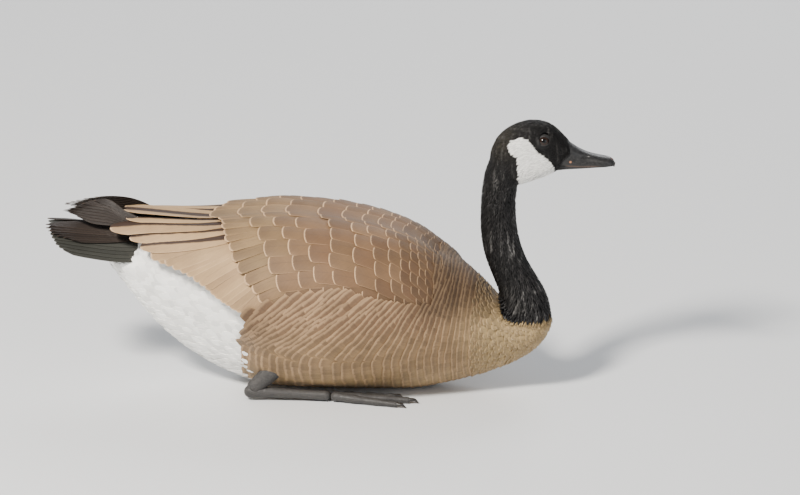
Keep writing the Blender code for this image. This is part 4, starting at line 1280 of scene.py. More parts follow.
@dataclass
class Flow:
    """The way the coat lies, between listed places of the side view: x, z, and direction in x and z."""

    places: tuple[tuple[float, ...], ...] = (
        (0.256, 0.262, -1, 0.15), (0.24, 0.287, -1, 0.3), (0.215, 0.298, -1, 0), (0.19, 0.292, -1, -0.45),
        (0.172, 0.27, -0.35, -1), (0.165, 0.24, -0.1, -1), (0.215, 0.262, -1, -0.25),
        (0.19, 0.262, -0.8, -0.8), (0.235, 0.245, -1, -0.2), (0.21, 0.236, -1, -0.45),
        (0.18, 0.23, -0.2, -1), (0.192, 0.225, -0.3, -1), (0.177, 0.195, 0, -1),
        (0.181, 0.16, 0.2, -1), (0.19, 0.13, 0.3, -1),
        (0.17, 0.122, -1, -0.45), (0.225, 0.115, 0.15, -1), (0.205, 0.092, -0.1, -1),
        (0.232, 0.08, -0.55, -1), (0.205, 0.06, -1, -0.35), (0.16, 0.1, -1, -0.45),
        (0.145, 0.135, -1, 0.35), (0.11, 0.155, -1, 0.3), (0.13, 0.08, -1, 0.05),
        (0.18, 0.03, -1, -0.2), (0.08, 0.1, -1, 0.2), (0.08, 0.04, -1, 0.02), (0.03, 0.105, -1, 0.4),
        (-0.03, 0.1, -1, 0.55), (-0.07, 0.085, -1, 0.5), (0, 0.05, -1, 0.3), (-0.06, 0.04, -1, 0.35),
        (0, 0, -1, 0), (-0.12, 0.1, -1, 0.35), (-0.12, 0.04, -1, 0.45), (-0.17, 0.08, -1, 0.7),
        (-0.215, 0.125, -1, 0.45), (-0.15, 0.17, -1, 0.02))
    blend: float = 0.018

    def at(self, points: Array, normals: Array) -> Array:
        """Directions of the coat along the skin.

        Args:
            points: Where to read them.
            normals: The outward directions there.

        Returns:
            A direction for each point.
        """
        table = np.array(self.places)
        away = ((points[:, None, [0, 2]] - table[None, :, :2]) ** 2).sum(-1)
        share = np.exp(-(away - away.min(axis=1, keepdims=True)) / (2 * self.blend ** 2))
        flat = share @ unit(table[:, 2:])
        way = np.stack([flat[:, 0], np.zeros(len(flat)), flat[:, 1]], axis=-1)
        return unit(way - normals * (way * normals).sum(-1, keepdims=True))


@dataclass
class Markings:
    """The goose's markings by place, the same for skin and coat."""

    cheek: Stations = (
        (0.1935, 0.2812), (0.2011, 0.2838), (0.209, 0.2828), (0.2132, 0.2782), (0.219, 0.2705),
        (0.2262, 0.265), (0.2327, 0.2591), (0.2368, 0.25), (0.2368, 0.238), (0.2254, 0.23),
        (0.2046, 0.223), (0.1985, 0.223), (0.199, 0.2481), (0.198, 0.2623), (0.1907, 0.2655),
        (0.1887, 0.2739), (0.1899, 0.28))
    hood_edge: Stations = ((0.15, 0.15), (0.165, 0.127), (0.173, 0.115), (0.188, 0.0825), (0.245, 0.08))
    hood_width: float = 0.025
    hood_rise: float = 1.5
    neck_x: float = 0.15
    rump_edge: Stations = ((0.0, -0.066), (0.05, -0.074), (0.1, -0.074), (0.12, -0.08), (0.15, -0.112))

    def over_hood(self, points: Array) -> Array:
        """How far points lie above the hood's lower edge, which rises where the neck spreads."""
        x, y, z = points.T
        return z - curve(self.hood_edge, x) - self.hood_rise * np.maximum(np.abs(y) - self.hood_width, 0.0)

    def in_cheek(self, points: Array) -> Array:
        """Find the points inside the white cheek patch, seen from the side.

        Args:
            points: The points.

        Returns:
            Whether each is inside.
        """
        corners = np.array(self.cheek)
        ahead = np.roll(corners, -1, axis=0)
        x, z = points[:, None, 0], points[:, None, 2]
        rising = (corners[None, :, 1] > z) != (ahead[None, :, 1] > z)
        gap = np.where(ahead[:, 1] == corners[:, 1], 1e-9, ahead[:, 1] - corners[:, 1])
        cross = corners[:, 0] + (z - corners[:, 1]) * (ahead[:, 0] - corners[:, 0]) / gap
        return (rising & (x < cross)).sum(axis=1) % 2 == 1

    def weights(self, points: Array, sheet: WingSheet) -> Array:
        """Tan, white and black shares and the tone at some points.

        Args:
            points: Where to read the markings.
            sheet: The wing, whose feathers stay brown.

        Returns:
            Four marks a point.
        """
        x, z = points[:, 0], points[:, 2]
        marks = np.zeros((len(points), 4))
        cheek = self.in_cheek(points) & (z > 0.2)
        hood = (self.over_hood(points) > 0) & (x > self.neck_x)
        rump = (x < curve(self.rump_edge, z)) & ((z < curve(sheet.lower_edge, x) + 0.004) | (x < -0.12))
        breast = ease(0.095, 0.185, x) * ease(0.128, 0.078, z)
        belly = ease(0.105, 0.06, z) * 0.35 + ease(0.055, 0.012, z) * 0.4
        # In the black hood the tan share carries the painted sheen at the back of the head.
        nape_sheen = ease(0.25, 0.275, z) * ease(0.206, 0.182, x) * 0.55
        marks[:, 0] = np.where(hood, nape_sheen, np.maximum(breast, belly))
        marks[:, 1] = cheek | rump
        marks[:, 2] = hood & ~cheek
        marks[:, 3] = 1.0
        return marks


@dataclass
class Form:
    """One smooth closed surface round the flesh and the wings' thick part, on which the coat lies."""

    sheet: WingSheet
    flesh: tuple[str, ...] = ("rump", "torso", "breast", "neck_lower", "neck_upper", "head")
    wings: tuple[str, ...] = ("wing_left", "wing_right")
    wing_ends: Pair = (-0.12, 0.132)
    wing_rings: int = 110
    wing_arcs: int = 50
    voxel: float = 0.002
    rounds: int = 14
    ledge_rounds: int = 90
    depth_trunk: float = 0.003
    depth_wing: float = 0.0085
    depth_neck: float = 0.0013
    depth_head: float = 0.0008
    # Painted shade: the skin's marks are darkened, so the gaps between feathers read darker.
    skin_painted_shade: float = 0.8

    def __post_init__(self) -> None:
        """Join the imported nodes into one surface, and keep its points and directions."""
        bm = bmesh.new()
        for name in self.flesh:
            bm.from_mesh(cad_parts[name].data)
        bm.from_mesh(self.wing_block())
        mesh = bpy.data.meshes.new("form")
        bm.to_mesh(mesh)
        bm.free()
        helper = linked("form", mesh)
        remesh = helper.modifiers.new("one_surface", "REMESH")
        remesh.mode = "VOXEL"
        remesh.voxel_size = self.voxel
        relax = helper.modifiers.new("relax", "SMOOTH")
        relax.factor = 0.5
        relax.iterations = self.rounds
        bpy.context.view_layer.update()
        made = bpy.data.meshes.new_from_object(helper.evaluated_get(bpy.context.evaluated_depsgraph_get()))
        bpy.data.objects.remove(helper)
        self.mesh = self.outer_shell(made)
        self.points = corners_of(self.mesh)
        self.soften_ledge()
        self.up = read(self.mesh.vertex_normals, "vector", 3, np.float32).astype(float)
        self.mesh.calc_loop_triangles()
        self.triangles = read(self.mesh.loop_triangles, "vertices", 3)
        self.tree = BVHTree.FromPolygons(self.points.tolist(), self.triangles.tolist())

    def soften_ledge(self) -> None:
        """Turn the step under the wings' lower edge into a slope, so that side feathers lie over it."""
        first, second = read(self.mesh.edges, "vertices", 2).T
        count = len(self.points)
        joins = np.bincount(first, minlength=count) + np.bincount(second, minlength=count)
        x, z = self.points[:, 0], self.points[:, 2]
        near = np.exp(-(((z - curve(WingSheet.lower_edge, x) + 0.004) / 0.013) ** 2))
        near = near * ease(-0.145, -0.115, x) * ease(0.15, 0.125, x)
        share = 0.6 * np.where(near > 0.05, near, 0.0)
        for _ in range(self.ledge_rounds):
            for axis in range(3):
                value = self.points[:, axis]
                around = np.bincount(first, value[second], count) + np.bincount(second, value[first], count)
                self.points[:, axis] = value + share * (around / joins - value)
        self.mesh.vertices.foreach_set("co", self.points.astype(np.float32).ravel())
        self.mesh.update()

    def wing_block(self) -> bpy.types.Mesh:
        """Make a closed body under the sheet of both wings, cut off behind their thick part.

        Returns:
            Its mesh.
        """
        rings = []
        for x in np.linspace(*self.wing_ends, self.wing_rings):
            arc = np.linspace(0.0, float(self.sheet.reach(x)), self.wing_arcs)
            side, _ = self.sheet.at(np.full(self.wing_arcs, x), arc)
            side[:, 0] = x
            rings.append(np.concatenate([side[::-1], side[1:] * Side.RIGHT.flip]))
        block = lofted("wing_block", np.array(rings), None)
        mesh = block.data
        bpy.data.objects.remove(block)
        return mesh

    @staticmethod
    def outer_shell(mesh: bpy.types.Mesh) -> bpy.types.Mesh:
        """Keep only the shell with the most corners.

        Args:
            mesh: A mesh of one shell or more.

        Returns:
            The same mesh.
        """
        bm = bmesh.new()
        bm.from_mesh(mesh)
        left = set(bm.verts)
        shells = []
        while left:
            waiting = [left.pop()]
            shell = []
            while waiting:
                vert = waiting.pop()
                shell.append(vert)
                for edge in vert.link_edges:
                    other = edge.other_vert(vert)
                    if other in left:
                        left.discard(other)
                        waiting.append(other)
            shells.append(shell)
        shells.sort(key=len)
        bmesh.ops.delete(bm, geom=[vert for shell in shells[:-1] for vert in shell], context="VERTS")
        bm.to_mesh(mesh)
        bm.free()
        return mesh

    def depth(self, points: Array) -> Array:
        """How deep the skin lies under the form, which is the coat's depth.

        Args:
            points: Where to read it.

        Returns:
            A depth for each point.
        """
        neck = ease(0.1, 0.15, points[:, 2]) * ease(0.14, 0.165, points[:, 0])
        head = ease(0.225, 0.25, points[:, 2])
        x, _, z = points.T
        wing = ease(-0.004, 0.006, z - curve(WingSheet.lower_edge, x)) * ease(0.122, 0.104, x)
        depth = self.depth_trunk + (self.depth_wing - self.depth_trunk) * wing
        depth = depth + (self.depth_neck - depth) * neck
        return depth + (self.depth_head - depth) * head

    def scatter(self, wanted: Array, gap: Array, seed: int) -> tuple[Array, Array]:
        """Spread points evenly over part of the form.

        Args:
            wanted: Whether each corner of the form is in the part.
            gap: The least distance between points, at each corner.
            seed: Where the draw starts.

        Returns:
            Points and the outward directions there.
        """
        draw = np.random.default_rng(seed)
        rows = self.triangles[wanted[self.triangles].all(axis=1)]
        a, b, c = (self.points[rows[:, k]] for k in range(3))
        area = np.linalg.norm(np.cross(b - a, c - a), axis=1) / 2
        density = area / gap[rows].mean(axis=1) ** 2
        pick = draw.choice(len(rows), int(density.sum() * 5), p=density / density.sum())
        r, s = np.sqrt(draw.random(len(pick))), draw.random(len(pick))
        share = np.stack([1 - r, r * (1 - s), r * s], axis=-1)[..., None]
        points = (self.points[rows[pick]] * share).sum(axis=1)
        up = unit((self.up[rows[pick]] * share).sum(axis=1))
        space = (gap[rows[pick]] * share[..., 0]).sum(axis=1)
        tree = KDTree(len(points))
        for k, point in enumerate(points):
            tree.insert(point, k)
        tree.balance()
        free = np.ones(len(points), bool)
        kept = []
        for k in range(len(points)):
            if free[k]:
                kept.append(k)
                free[[near[1] for near in tree.find_range(points[k], space[k])]] = False
        return points[kept], up[kept]

    def skin(self, markings: Markings) -> Piece:
        """Make the skin, inside the coat by its depth.

        Args:
            markings: The goose's markings.

        Returns:
            The new object.
        """
        mesh = self.mesh.copy()
        inside = self.points - self.up * self.depth(self.points)[:, None]
        inside[:, 2] = np.maximum(inside[:, 2], 0.0002)
        mesh.vertices.foreach_set("co", inside.astype(np.float32).ravel())
        mesh.update()
        mesh.shade_smooth()
        marks = markings.weights(self.points, self.sheet)
        # Painted shade: the skin is darker than the coat over it, so gaps between feathers look shaded.
        marks[:, 3] = self.skin_painted_shade
        store(mesh, MARKS, marks)
        return linked("skin", mesh)


@dataclass
class Rows:
    """Rows of feathers down the breast and flanks, each a slanting line round the trunk."""

    form: Form
    step: Stations = (
        (-0.06, 0.0098), (-0.02, 0.0082), (0.06, 0.007), (0.1, 0.0058), (0.135, 0.0048), (0.175, 0.0042))
    slant: Stations = (
        (-0.09, 0.55), (-0.05, 0.95), (0.0, 1.3), (0.05, 1.25), (0.09, 0.8), (0.13, 0.3), (0.17, 0.0))
    width: Stations = (
        (-0.06, 0.029), (-0.02, 0.0215), (0.06, 0.0165), (0.1, 0.0125), (0.135, 0.009), (0.175, 0.0078))
    middle: float = 0.1
    lowest: float = 0.052
    hub: float = 0.088
    rays: int = 90
    side_by_side: float = 0.48
    reach: float = 3.1
    bend: float = 0.026
    sway: float = 0.26
    glance: float = 0.004

    def along(self, points: Array, normals: Array, walked: Array, at: Array) -> tuple[Array, Array, Array]:
        """Look up places along one row.

        Args:
            points: The row's points.
            normals: The outward directions there.
            walked: How far along the row each lies.
            at: The places to look up.

        Returns:
            Roots, outward directions and the way feathers lie there.
        """
        reads = ((points, 0.0), (points, self.glance), (points, -self.glance), (normals, 0.0))
        root, ahead, behind, up = (
            np.stack([np.interp(at + move, walked, values[:, k]) for k in range(3)], axis=-1)
            for values, move in reads)
        up = unit(up)
        way = unit(np.cross(up, ahead - behind))
        return root, up, way * -np.sign(way[:, :1])

    def line(self, start: float, side: Side) -> tuple[Array, Array]:
        """Follow one row round one side, from the spine to the keel.

        Args:
            start: Its place along the goose, at the middle of the flank.
            side: Which side.

        Returns:
            Points and the outward directions there.
        """
        slant = float(curve(self.slant, start))
        points, normals = [], []
        for turn in np.linspace(0.02, math.pi - 0.02, self.rays):
            way = Vector((0.0, side.value * math.sin(turn), math.cos(turn)))
            x, hit = start, None
            for _ in range(3):
                hit, normal, _, _ = self.form.tree.ray_cast(Vector((x, 0.0, self.hub)), way)
                if hit is None:
                    break
                x = start + slant * (max(hit.z, self.lowest) - self.middle)
            if hit is not None:
                points.append(hit)
                normals.append(normal)
        return np.array(points), np.array(normals)

    def places(self, start: float, end: float, seed: int,
               on_wing: Callable[[Array, float], Array]) -> tuple[Array, Array, Array, Array]:
        """Spread feathers over the rows from start back to end, from the wing's edge down.

        Args:
            start: The foremost row.
            end: Where the rows stop.
            seed: Where small differences come from.
            on_wing: Tells which tips would hide the wing's coverts.

        Returns:
            Roots, outward directions, the way each feather lies, and its row.
        """
        draw = np.random.default_rng(seed)
        found = []
        number = 0
        while start > end:
            step, width = float(curve(self.step, start)), float(curve(self.width, start))
            gap = self.side_by_side * width
            for side in Side:
                points, normals = self.line(start, side)
                walked = walk(points)
                fine = np.arange(0.0, walked[-1], 0.0005)
                root, up, way = self.along(points, normals, walked, fine)
                free = ~on_wing(root + way * self.reach * step, 0.0)
                first = (0.25 + 0.5 * (number % 2)) * gap
                if free.any() and not free[0]:
                    first = fine[np.argmax(free)]
                at = np.arange(first, walked[-1], gap)
                at = at + 0.08 * gap * draw.uniform(-1, 1, len(at))
                root, up, way = self.along(points, normals, walked, at)
                knots = np.arange(0.0, walked[-1] + self.bend, self.bend)
                sway = self.sway * step * np.interp(at, knots, draw.uniform(-1, 1, len(knots)))
                sway = sway + 0.05 * gap * draw.uniform(-1, 1, len(at))
                found.append((root + way * sway[:, None], up, way, np.full(len(at), start)))
            start -= step
            number += 1
        return tuple(np.concatenate(parts) for parts in zip(*found))


@dataclass(frozen=True)
class Tract:
    """One tract of small feathers: where it lies, and its feathers' sizes from place to place."""

    name: str
    slot: Slot
    vane: Vane
    gap: float
    length: float
    width: float
    low: float
    high: float
    seed: int
    roll: float = 0.0003
    flat: bool = False
    sharp: float | None = 55.0


@dataclass
class Body:
    """The small feathers of head, neck and trunk, laid on the form."""

    form: Form
    flow: Flow
    markings: Markings
    sheet: WingSheet
    unwrap: Unwrap
    eye: Pair = (0.2258, 0.2791)
    eye_clear: float = 0.0066
    bill_x: float = 0.2535
    head_z: float = 0.212
    ruffle: float = 7.0
    tracts: tuple[Tract, ...] = (
        Tract("head_plumage", Slot.BLACK, HAIRLIKE, 0.00115, 0.003, 0.0013, -0.0005, 0.00035, 21, 0,
              True, None),
        Tract("neck_plumage", Slot.BLACK, HAIRLIKE, 0.00165, 0.0062, 0.0021, -0.0009, 0.0006, 22, 0,
              False, None),
        Tract("breast_plumage", Slot.TAN, CONTOUR, 0.004, 0.0125, 0.0085, -0.0016, 0.0011, 23),
        Tract("rump_plumage", Slot.WHITE, DOWNY, 0.0056, 0.022, 0.014, -0.0018, 0.0006, 26),
    )
    sides: tuple[tuple[str, Pair, int], ...] = (
        ("shoulder_plumage", (0.172, 0.1005), 31), ("flank_plumage", (0.1, -0.058), 32))
    side: Tract = Tract("side", Slot.BROWN, SIDE, 0.0, 0.0, 0.0, -0.0011, 0.0004, 33, 0.00003)
    side_end: Stations = ((0.0, -0.09), (0.03, -0.09), (0.07, -0.086), (0.1, -0.081), (0.125, -0.077))
    side_top: Stations = (
        (-0.09, 0.006), (-0.06, 0.009), (-0.02, 0.006), (0.01, 0.003), (0.055, 0.001), (0.11, -0.003))
    wing_front: float = 0.113
    wing_clearance: float = 0.0022
    wing_lift: float = 0.0007
    floor: float = 0.0004

    def __post_init__(self) -> None:
        """Sort the form's corners into tracts."""
        x, _, z = self.form.points.T
        edge = curve(self.sheet.lower_edge, x)
        head = (z > self.head_z) & (x > self.markings.neck_x)
        above = self.markings.over_hood(self.form.points)
        neck = (above > 0) & (x > 0.155) & ~head
        trunk = ~head & ~neck
        eye = np.hypot(x - self.eye[0], z - self.eye[1]) < self.eye_clear
        rump = trunk & (x < curve(self.markings.rump_edge, z) + 0.004) & ((z < edge + 0.003) | (x < -0.125))
        self.parts = {
            "head_plumage": head & ~eye & (x < self.bill_x),
            "neck_plumage": neck,
            "breast_plumage": (x > 0.16) & (above < 0.005),
            "rump_plumage": rump,
        }

    def scale(self, tract: Tract, points: Array) -> Array:
        """How large a tract's feathers are from place to place.

        Args:
            tract: The tract.
            points: Where to read it.

        Returns:
            A share of the tract's sizes for each point.
        """
        x, z = points[:, 0], points[:, 2]
        if tract.name == "head_plumage":
            front = np.minimum(np.hypot(x - self.eye[0], z - self.eye[1]) * 60, (0.262 - x) * 40)
            return (0.62 + 0.58 * ease(0.2, 1.6, front)) * (1 + 0.55 * ease(0.245, 0.215, z))
        if tract.name == "neck_plumage":
            return 1.0 + 0.25 * ease(0.15, 0.09, z)
        if tract.name == "breast_plumage":
            return 1.0 - 0.15 * ease(0.17, 0.2, x) - 0.3 * ease(0.185, 0.17, x) * ease(0.095, 0.115, z)
        return np.ones(len(points))

    @staticmethod
    def flat_vanes(
        tract: Tract, points: Array, up: Array, way: Array, size: Array
    ) -> tuple[Array, Array]:
        """Lay small feathers straight along the skin.

        Args:
            tract: Their tract.
            points: Their roots.
            up: The outward directions there.
            way: The way they lie.
            size: Their size, as shares of the tract's.

        Returns:
            Upper points and outward directions.
        """
        run, across, _ = tract.vane.grid()
        side = np.cross(up, way)
        length = (tract.length * size)[:, None, None, None]
        half = (tract.width * size / 2)[:, None, None, None]
        top = points[:, None, None] + way[:, None, None] * run[None, ..., None] * length
        top = top + side[:, None, None] * across[None, ..., None] * half
        roll = np.full(len(points), tract.roll)
        lift = tract.vane.lifts(tract.low * size, tract.high * size, roll, tract.width * size)
        return top + up[:, None, None] * lift[..., None], np.broadcast_to(up[:, None, None], top.shape)

    def bent_vanes(
        self, tract: Tract, points: Array, way: Array, lengths: Array, widths: Array
    ) -> tuple[Array, Array]:
        """Lay feathers so that they follow the form.

        Args:
            tract: Their tract.
            points: Their roots.
            way: The way they lie.
            lengths: Their lengths.
            widths: Their widths.

        Returns:
            Upper points and outward directions.
        """
        run, across, _ = tract.vane.grid()
        rows, columns = run.shape
        top = np.empty((len(points), rows, columns, 3))
        normals = np.empty_like(top)
        nearest = self.form.tree.find_nearest
        middle = columns // 2
        for k in range(len(points)):
            centre, ahead = Vector(points[k]), Vector(way[k])
            length, half = lengths[k], widths[k] / 2
            for i in range(rows):
                base, normal, _, _ = nearest(centre)
                ahead = (ahead - normal * ahead.dot(normal)).normalized()
                side = normal.cross(ahead)
                for j in range(columns):
                    if j == middle:
                        top[k, i, j], normals[k, i, j] = base, normal
                        continue
                    back = (run[i, j] - run[i, middle]) * length
                    spot, face, _, _ = nearest(base + side * (across[i, j] * half) + ahead * back)
                    top[k, i, j], normals[k, i, j] = spot, face
                centre = base + ahead * (length / (rows - 1))
        draw = np.random.default_rng(tract.seed)
        roll = tract.roll * draw.uniform(-1, 1, len(points))
        high = tract.high * about(draw, 0.14, len(points))
        if tract.name == "neck_plumage":
            high = high + 0.0009 * ease(0.016, 0.0, self.markings.over_hood(points))
        if tract.name == "breast_plumage":
            high = high * (0.25 + 0.75 * ease(0.0, -0.012, self.markings.over_hood(points)))
        if tract.name == "side":
            high = high + self.over_wing(top[:, -1, middle])
            top = self.sheet.clear(top, self.wing_clearance)
        lift = tract.vane.lifts(np.full(len(points), tract.low), high, roll, widths)
        normals = unit(normals + normals.mean(axis=(1, 2), keepdims=True))
        return top + normals * lift[..., None], normals

    def on_wing(self, tips: Array, slack: float) -> Array:
        """Whether tips lie so far up the wing, behind its front, that they would hide its coverts."""
        x, z = tips[:, 0], tips[:, 2]
        top = curve(self.sheet.lower_edge, x) + curve(self.side_top, x)
        return (z > top + slack) & (x < self.wing_front)

    def over_wing(self, tips: Array) -> Array:
        """How much higher the tips lie where they cover the wing's lower edge and front."""
        x = tips[:, 0]
        above = tips[:, 2] - curve(self.sheet.lower_edge, x)
        return self.wing_lift * ease(-0.034, 0.006, above) * ease(-0.11, -0.09, x) * ease(0.15, 0.125, x)

    def side_rows(self, name: str, ends: Pair, seed: int) -> Piece:
        """Make the rows of one stretch of the sides.

        Args:
            name: The piece's name.
            ends: The foremost row and where the rows stop.
            seed: Where small differences come from.

        Returns:
            The new object.
        """
        rows = Rows(self.form)
        points, _, way, row = rows.places(*ends, seed, self.on_wing)
        draw = np.random.default_rng(seed + 100)
        widths = curve(rows.width, row) * about(draw, 0.08, len(row))
        lengths = rows.reach * curve(rows.step, row) * about(draw, 0.03, len(row))
        tips = points + way * lengths[:, None]
        hood = (points[:, 0] > self.markings.neck_x) & (self.markings.over_hood(points) > 0.006)
        kept = ~self.on_wing(tips, 0.01) & ~hood & (tips[:, 0] > curve(self.side_end, tips[:, 2]) - 0.003)
        points, way, widths, lengths = (value[kept] for value in (points, way, widths, lengths))
        top, normals = self.bent_vanes(self.side, points, way, lengths, widths)
        tips = top[:, -1, SIDE.across // 2]
        kept = ~self.on_wing(tips, 0.004) & (tips[:, 0] > curve(self.side_end, tips[:, 2]) - 0.004)
        points, top, normals = (value[kept] for value in (points, top, normals))
        top[..., 2] = np.maximum(top[..., 2], self.floor)
        marks = self.markings.weights(top[:, SIDE.along // 2, SIDE.across // 2], self.sheet)
        marks[:, 1:3] = 0.0
        rear = ease(-0.02, -0.062, points[:, 0]) * ease(0.06, 0.09, points[:, 2])
        streaked = ease(0.09, 0.12, points[:, 0]) * ease(0.078, 0.11, points[:, 2])
        marks[:, 3] = about(draw, 0.15, len(points)) * (1 - 0.38 * rear) * (1 - 0.52 * streaked)
        coat = Coat(name, self.unwrap)
        coat.add(SIDE, top, normals, marks)
        return coat.build()

    def build(self, tract: Tract) -> Piece:
        """Make one tract.

        Args:
            tract: The tract.

        Returns:
            The new object.
        """
        gap = tract.gap * self.scale(tract, self.form.points)
        points, up = self.form.scatter(self.parts[tract.name], gap, tract.seed)
        draw = np.random.default_rng(tract.seed + 100)
        count = len(points)
        size = self.scale(tract, points) * about(draw, 0.1, count)
        way = self.flow.at(points, up)
        turn = np.radians(self.ruffle) * draw.normal(size=count)[:, None]
        way = unit(way * np.cos(turn) + np.cross(up, way) * np.sin(turn))
        if tract.flat:
            top, normals = self.flat_vanes(tract, points, up, way, size)
        else:
            top, normals = self.bent_vanes(tract, points, way, tract.length * size, tract.width * size)
        top[..., 2] = np.maximum(top[..., 2], self.floor)
        middle = top[:, tract.vane.along // 2, tract.vane.across // 2]
        marks = self.markings.weights(middle, self.sheet)
        x, z = middle[:, 0], middle[:, 2]
        marks[:, 3] = about(draw, 0.14, count)
        if tract.slot is Slot.TAN:
            marks[:, 0] = np.where(marks[:, 2] > 0, 0.9 * ease(0.165, 0.192, x), marks[:, 0])
            marks[:, 1:3] = 0.0
            marks[:, 3] *= 1 - 0.35 * ease(0.185, 0.165, x) * ease(0.085, 0.105, z)
        if tract.slot is Slot.BLACK:
            # Painted sheen: some black feathers on the front of the lower neck, which face forward, get a
            # much brighter tone.
            front = ease(-0.3, 0.6, up[:, 0]) * ease(0.25, 0.16, points[:, 2]) * (draw.random(count) < 0.4)
            gloss = np.exp(0.3 * draw.normal(size=count)) + 2.1 * front
            marks[:, 3] = np.where(marks[:, 2] > 0, gloss, marks[:, 3])
        coat = Coat(tract.name, self.unwrap)
        coat.add(tract.vane, top, normals, marks)
        return coat.build(tract.sharp)


@dataclass
class Bill:
    """The bill: both halves, with nail, nostrils and the line of the mouth."""

    culmen: Stations = (
        (0.238, 0.285), (0.2445, 0.2822), (0.2494, 0.2768), (0.2558, 0.272), (0.2638, 0.2672),
        (0.2744, 0.2633), (0.2841, 0.2612), (0.2921, 0.2598), (0.2968, 0.2572), (0.2993, 0.2534))
    half_width: Stations = (
        (0.238, 0.0112), (0.25, 0.012), (0.26, 0.0117), (0.272, 0.0109), (0.285, 0.0102), (0.292, 0.009),
        (0.297, 0.0066), (0.2993, 0.0022))
    mouth: Stations = ((0.238, 0.2532), (0.25, 0.2522), (0.268, 0.2515), (0.285, 0.2519), (0.2993, 0.2519))
    jaw: Stations = ((0.238, 0.2438), (0.248, 0.2456), (0.268, 0.2478), (0.285, 0.2497), (0.2965, 0.2508))
    nostril: Pair = (0.269, 0.2612)
    nostril_size: Pair = (0.0042, 0.0013)
    nostril_depth: float = 0.0018
    trough: Pair = (0.264, 0.2622)
    trough_size: Pair = (0.0095, 0.0028)
    trough_depth: float = 0.0007
    tooth_pitch: float = 0.0011
    tooth_depth: float = 0.00012
    mouth_gap: float = 0.0005
    rings: int = 90
    around: int = 49

    def upper(self) -> Piece:
        """Make the upper half, hollowed at the nostrils and toothed along its edge.

        Returns:
            The new object.
        """
        share = np.linspace(0, 1, self.rings)
        x = self.culmen[0][0] + (self.culmen[-1][0] - self.culmen[0][0]) * (1 - (1 - share) ** 1.35)
        turn = np.linspace(0, math.pi, self.around)
        top, low = curve(self.culmen, x)[:, None], curve(self.mouth, x)[:, None]
        half = curve(self.half_width, x)[:, None]
        across, rise = np.cos(turn)[None], np.sin(turn)[None]
        y = half * np.sign(across) * np.abs(across) ** 0.82
        z = low + (top - low) * rise ** (0.92 + 0.25 * ease(0.26, 0.245, x)[:, None])
        along = (x[:, None] - self.nostril[0]) / self.nostril_size[0]
        high = (z - self.nostril[1]) / self.nostril_size[1]
        pit = np.exp(-(along ** 2 + high ** 2) ** 1.5)
        along = (x[:, None] - self.trough[0]) / self.trough_size[0]
        trough = np.exp(-along ** 2 - ((z - self.trough[1]) / self.trough_size[1]) ** 2)
        y = y - np.sign(y) * (self.nostril_depth * pit + self.trough_depth * trough)
        wave = np.sin(x * math.tau / self.tooth_pitch) * ease(0.25, 0.262, x)
        y = y + np.sign(y) * self.tooth_depth * wave[:, None] * ease(0.0022, 0.0004, z - low)
        z = z - 0.0002 * ease(0.001, 0.0, z - low)
        piece = lofted("bill_upper_horn", self.floored(x, y, z, 0.0006))
        place = corners_of(piece.data)
        above = place[:, 2] - curve(self.mouth, place[:, 0])
        lip = ease(0.0013, 0.0004, above) * ease(0.247, 0.252, place[:, 0]) * ease(0.288, 0.274, place[:, 0])
        store(piece.data, "Lip", lip)
        return piece

    @staticmethod
    def arches(x: Array, y: Array, z: Array) -> Array:
        """Points as (ring, place round it, xyz), from one x a ring."""
        return np.stack([np.broadcast_to(x[:, None], y.shape), y, z], axis=-1)

    def floored(self, x: Array, y: Array, z: Array, rise: float) -> Array:
        """Close the open side of arched rings with a floor.

        Args:
            x: Each ring's x.
            y: Each point's y.
            z: Each point's z.
            rise: How much higher the floor is in the middle.

        Returns:
            Points as (ring, place round it, xyz).
        """
        outer = self.arches(x, y, z)
        share = np.linspace(0, 1, 13)[1:-1][None, :, None]
        start, end = outer[:, -1:], outer[:, :1]
        inner = start + (end - start) * share
        inner[..., 2] += rise * np.sin(np.pi * share[..., 0])
        return np.concatenate([outer, inner], axis=1)

    def lower(self) -> Piece:
        """Make the lower half, a little narrower.

        Returns:
            The new object.
        """
        x = np.linspace(self.jaw[0][0], self.jaw[-1][0], 60)
        turn = np.linspace(0, math.pi, 33)
        mouth, low = curve(self.mouth, x)[:, None] - self.mouth_gap, curve(self.jaw, x)[:, None]
        half = (curve(self.half_width, x) * 0.9 * (1 - 0.6 * ease(0.29, 0.2965, x) ** 2))[:, None]
        across, rise = np.cos(turn)[None], np.sin(turn)[None]
        y = half * np.sign(across) * np.abs(across) ** 0.85
        z = mouth - (mouth - low) * rise ** 0.8
        z = z + 0.0007 * np.exp(-(y / 0.003) ** 2) * ease(0.288, 0.278, x)[:, None] * rise
        return lofted("bill_lower_horn", self.floored(x, y, z, -0.0004))

    def nail(self) -> Piece:
        """Make the nail, a shield over the tip.

        Returns:
            The new object.
        """
        share = np.linspace(0, 1, 25)
        x = 0.2885 + 0.0112 * (1 - (1 - share) ** 1.5)
        turn = np.linspace(-1, 1, 21)[None]
        reach = (0.005 * np.sin(np.pi * np.clip(share, 0.03, 0.8) / 1.25) ** 0.6)[:, None]
        y = reach * turn
        half = curve(self.half_width, x)[:, None]
        top, low = curve(self.culmen, x)[:, None], curve(self.mouth, x)[:, None]
        level = np.clip(1 - np.abs(y / half) ** 2.2, 0, 1) ** 0.55
        z = low + (top - low) * level + 0.00035 * (1 - turn ** 4)
        outer = self.arches(x, y, z)
        under = outer - np.array([0.0004, 0.0, 0.0011])
        return lofted("bill_nail", np.concatenate([outer, under[:, ::-1]], axis=1))


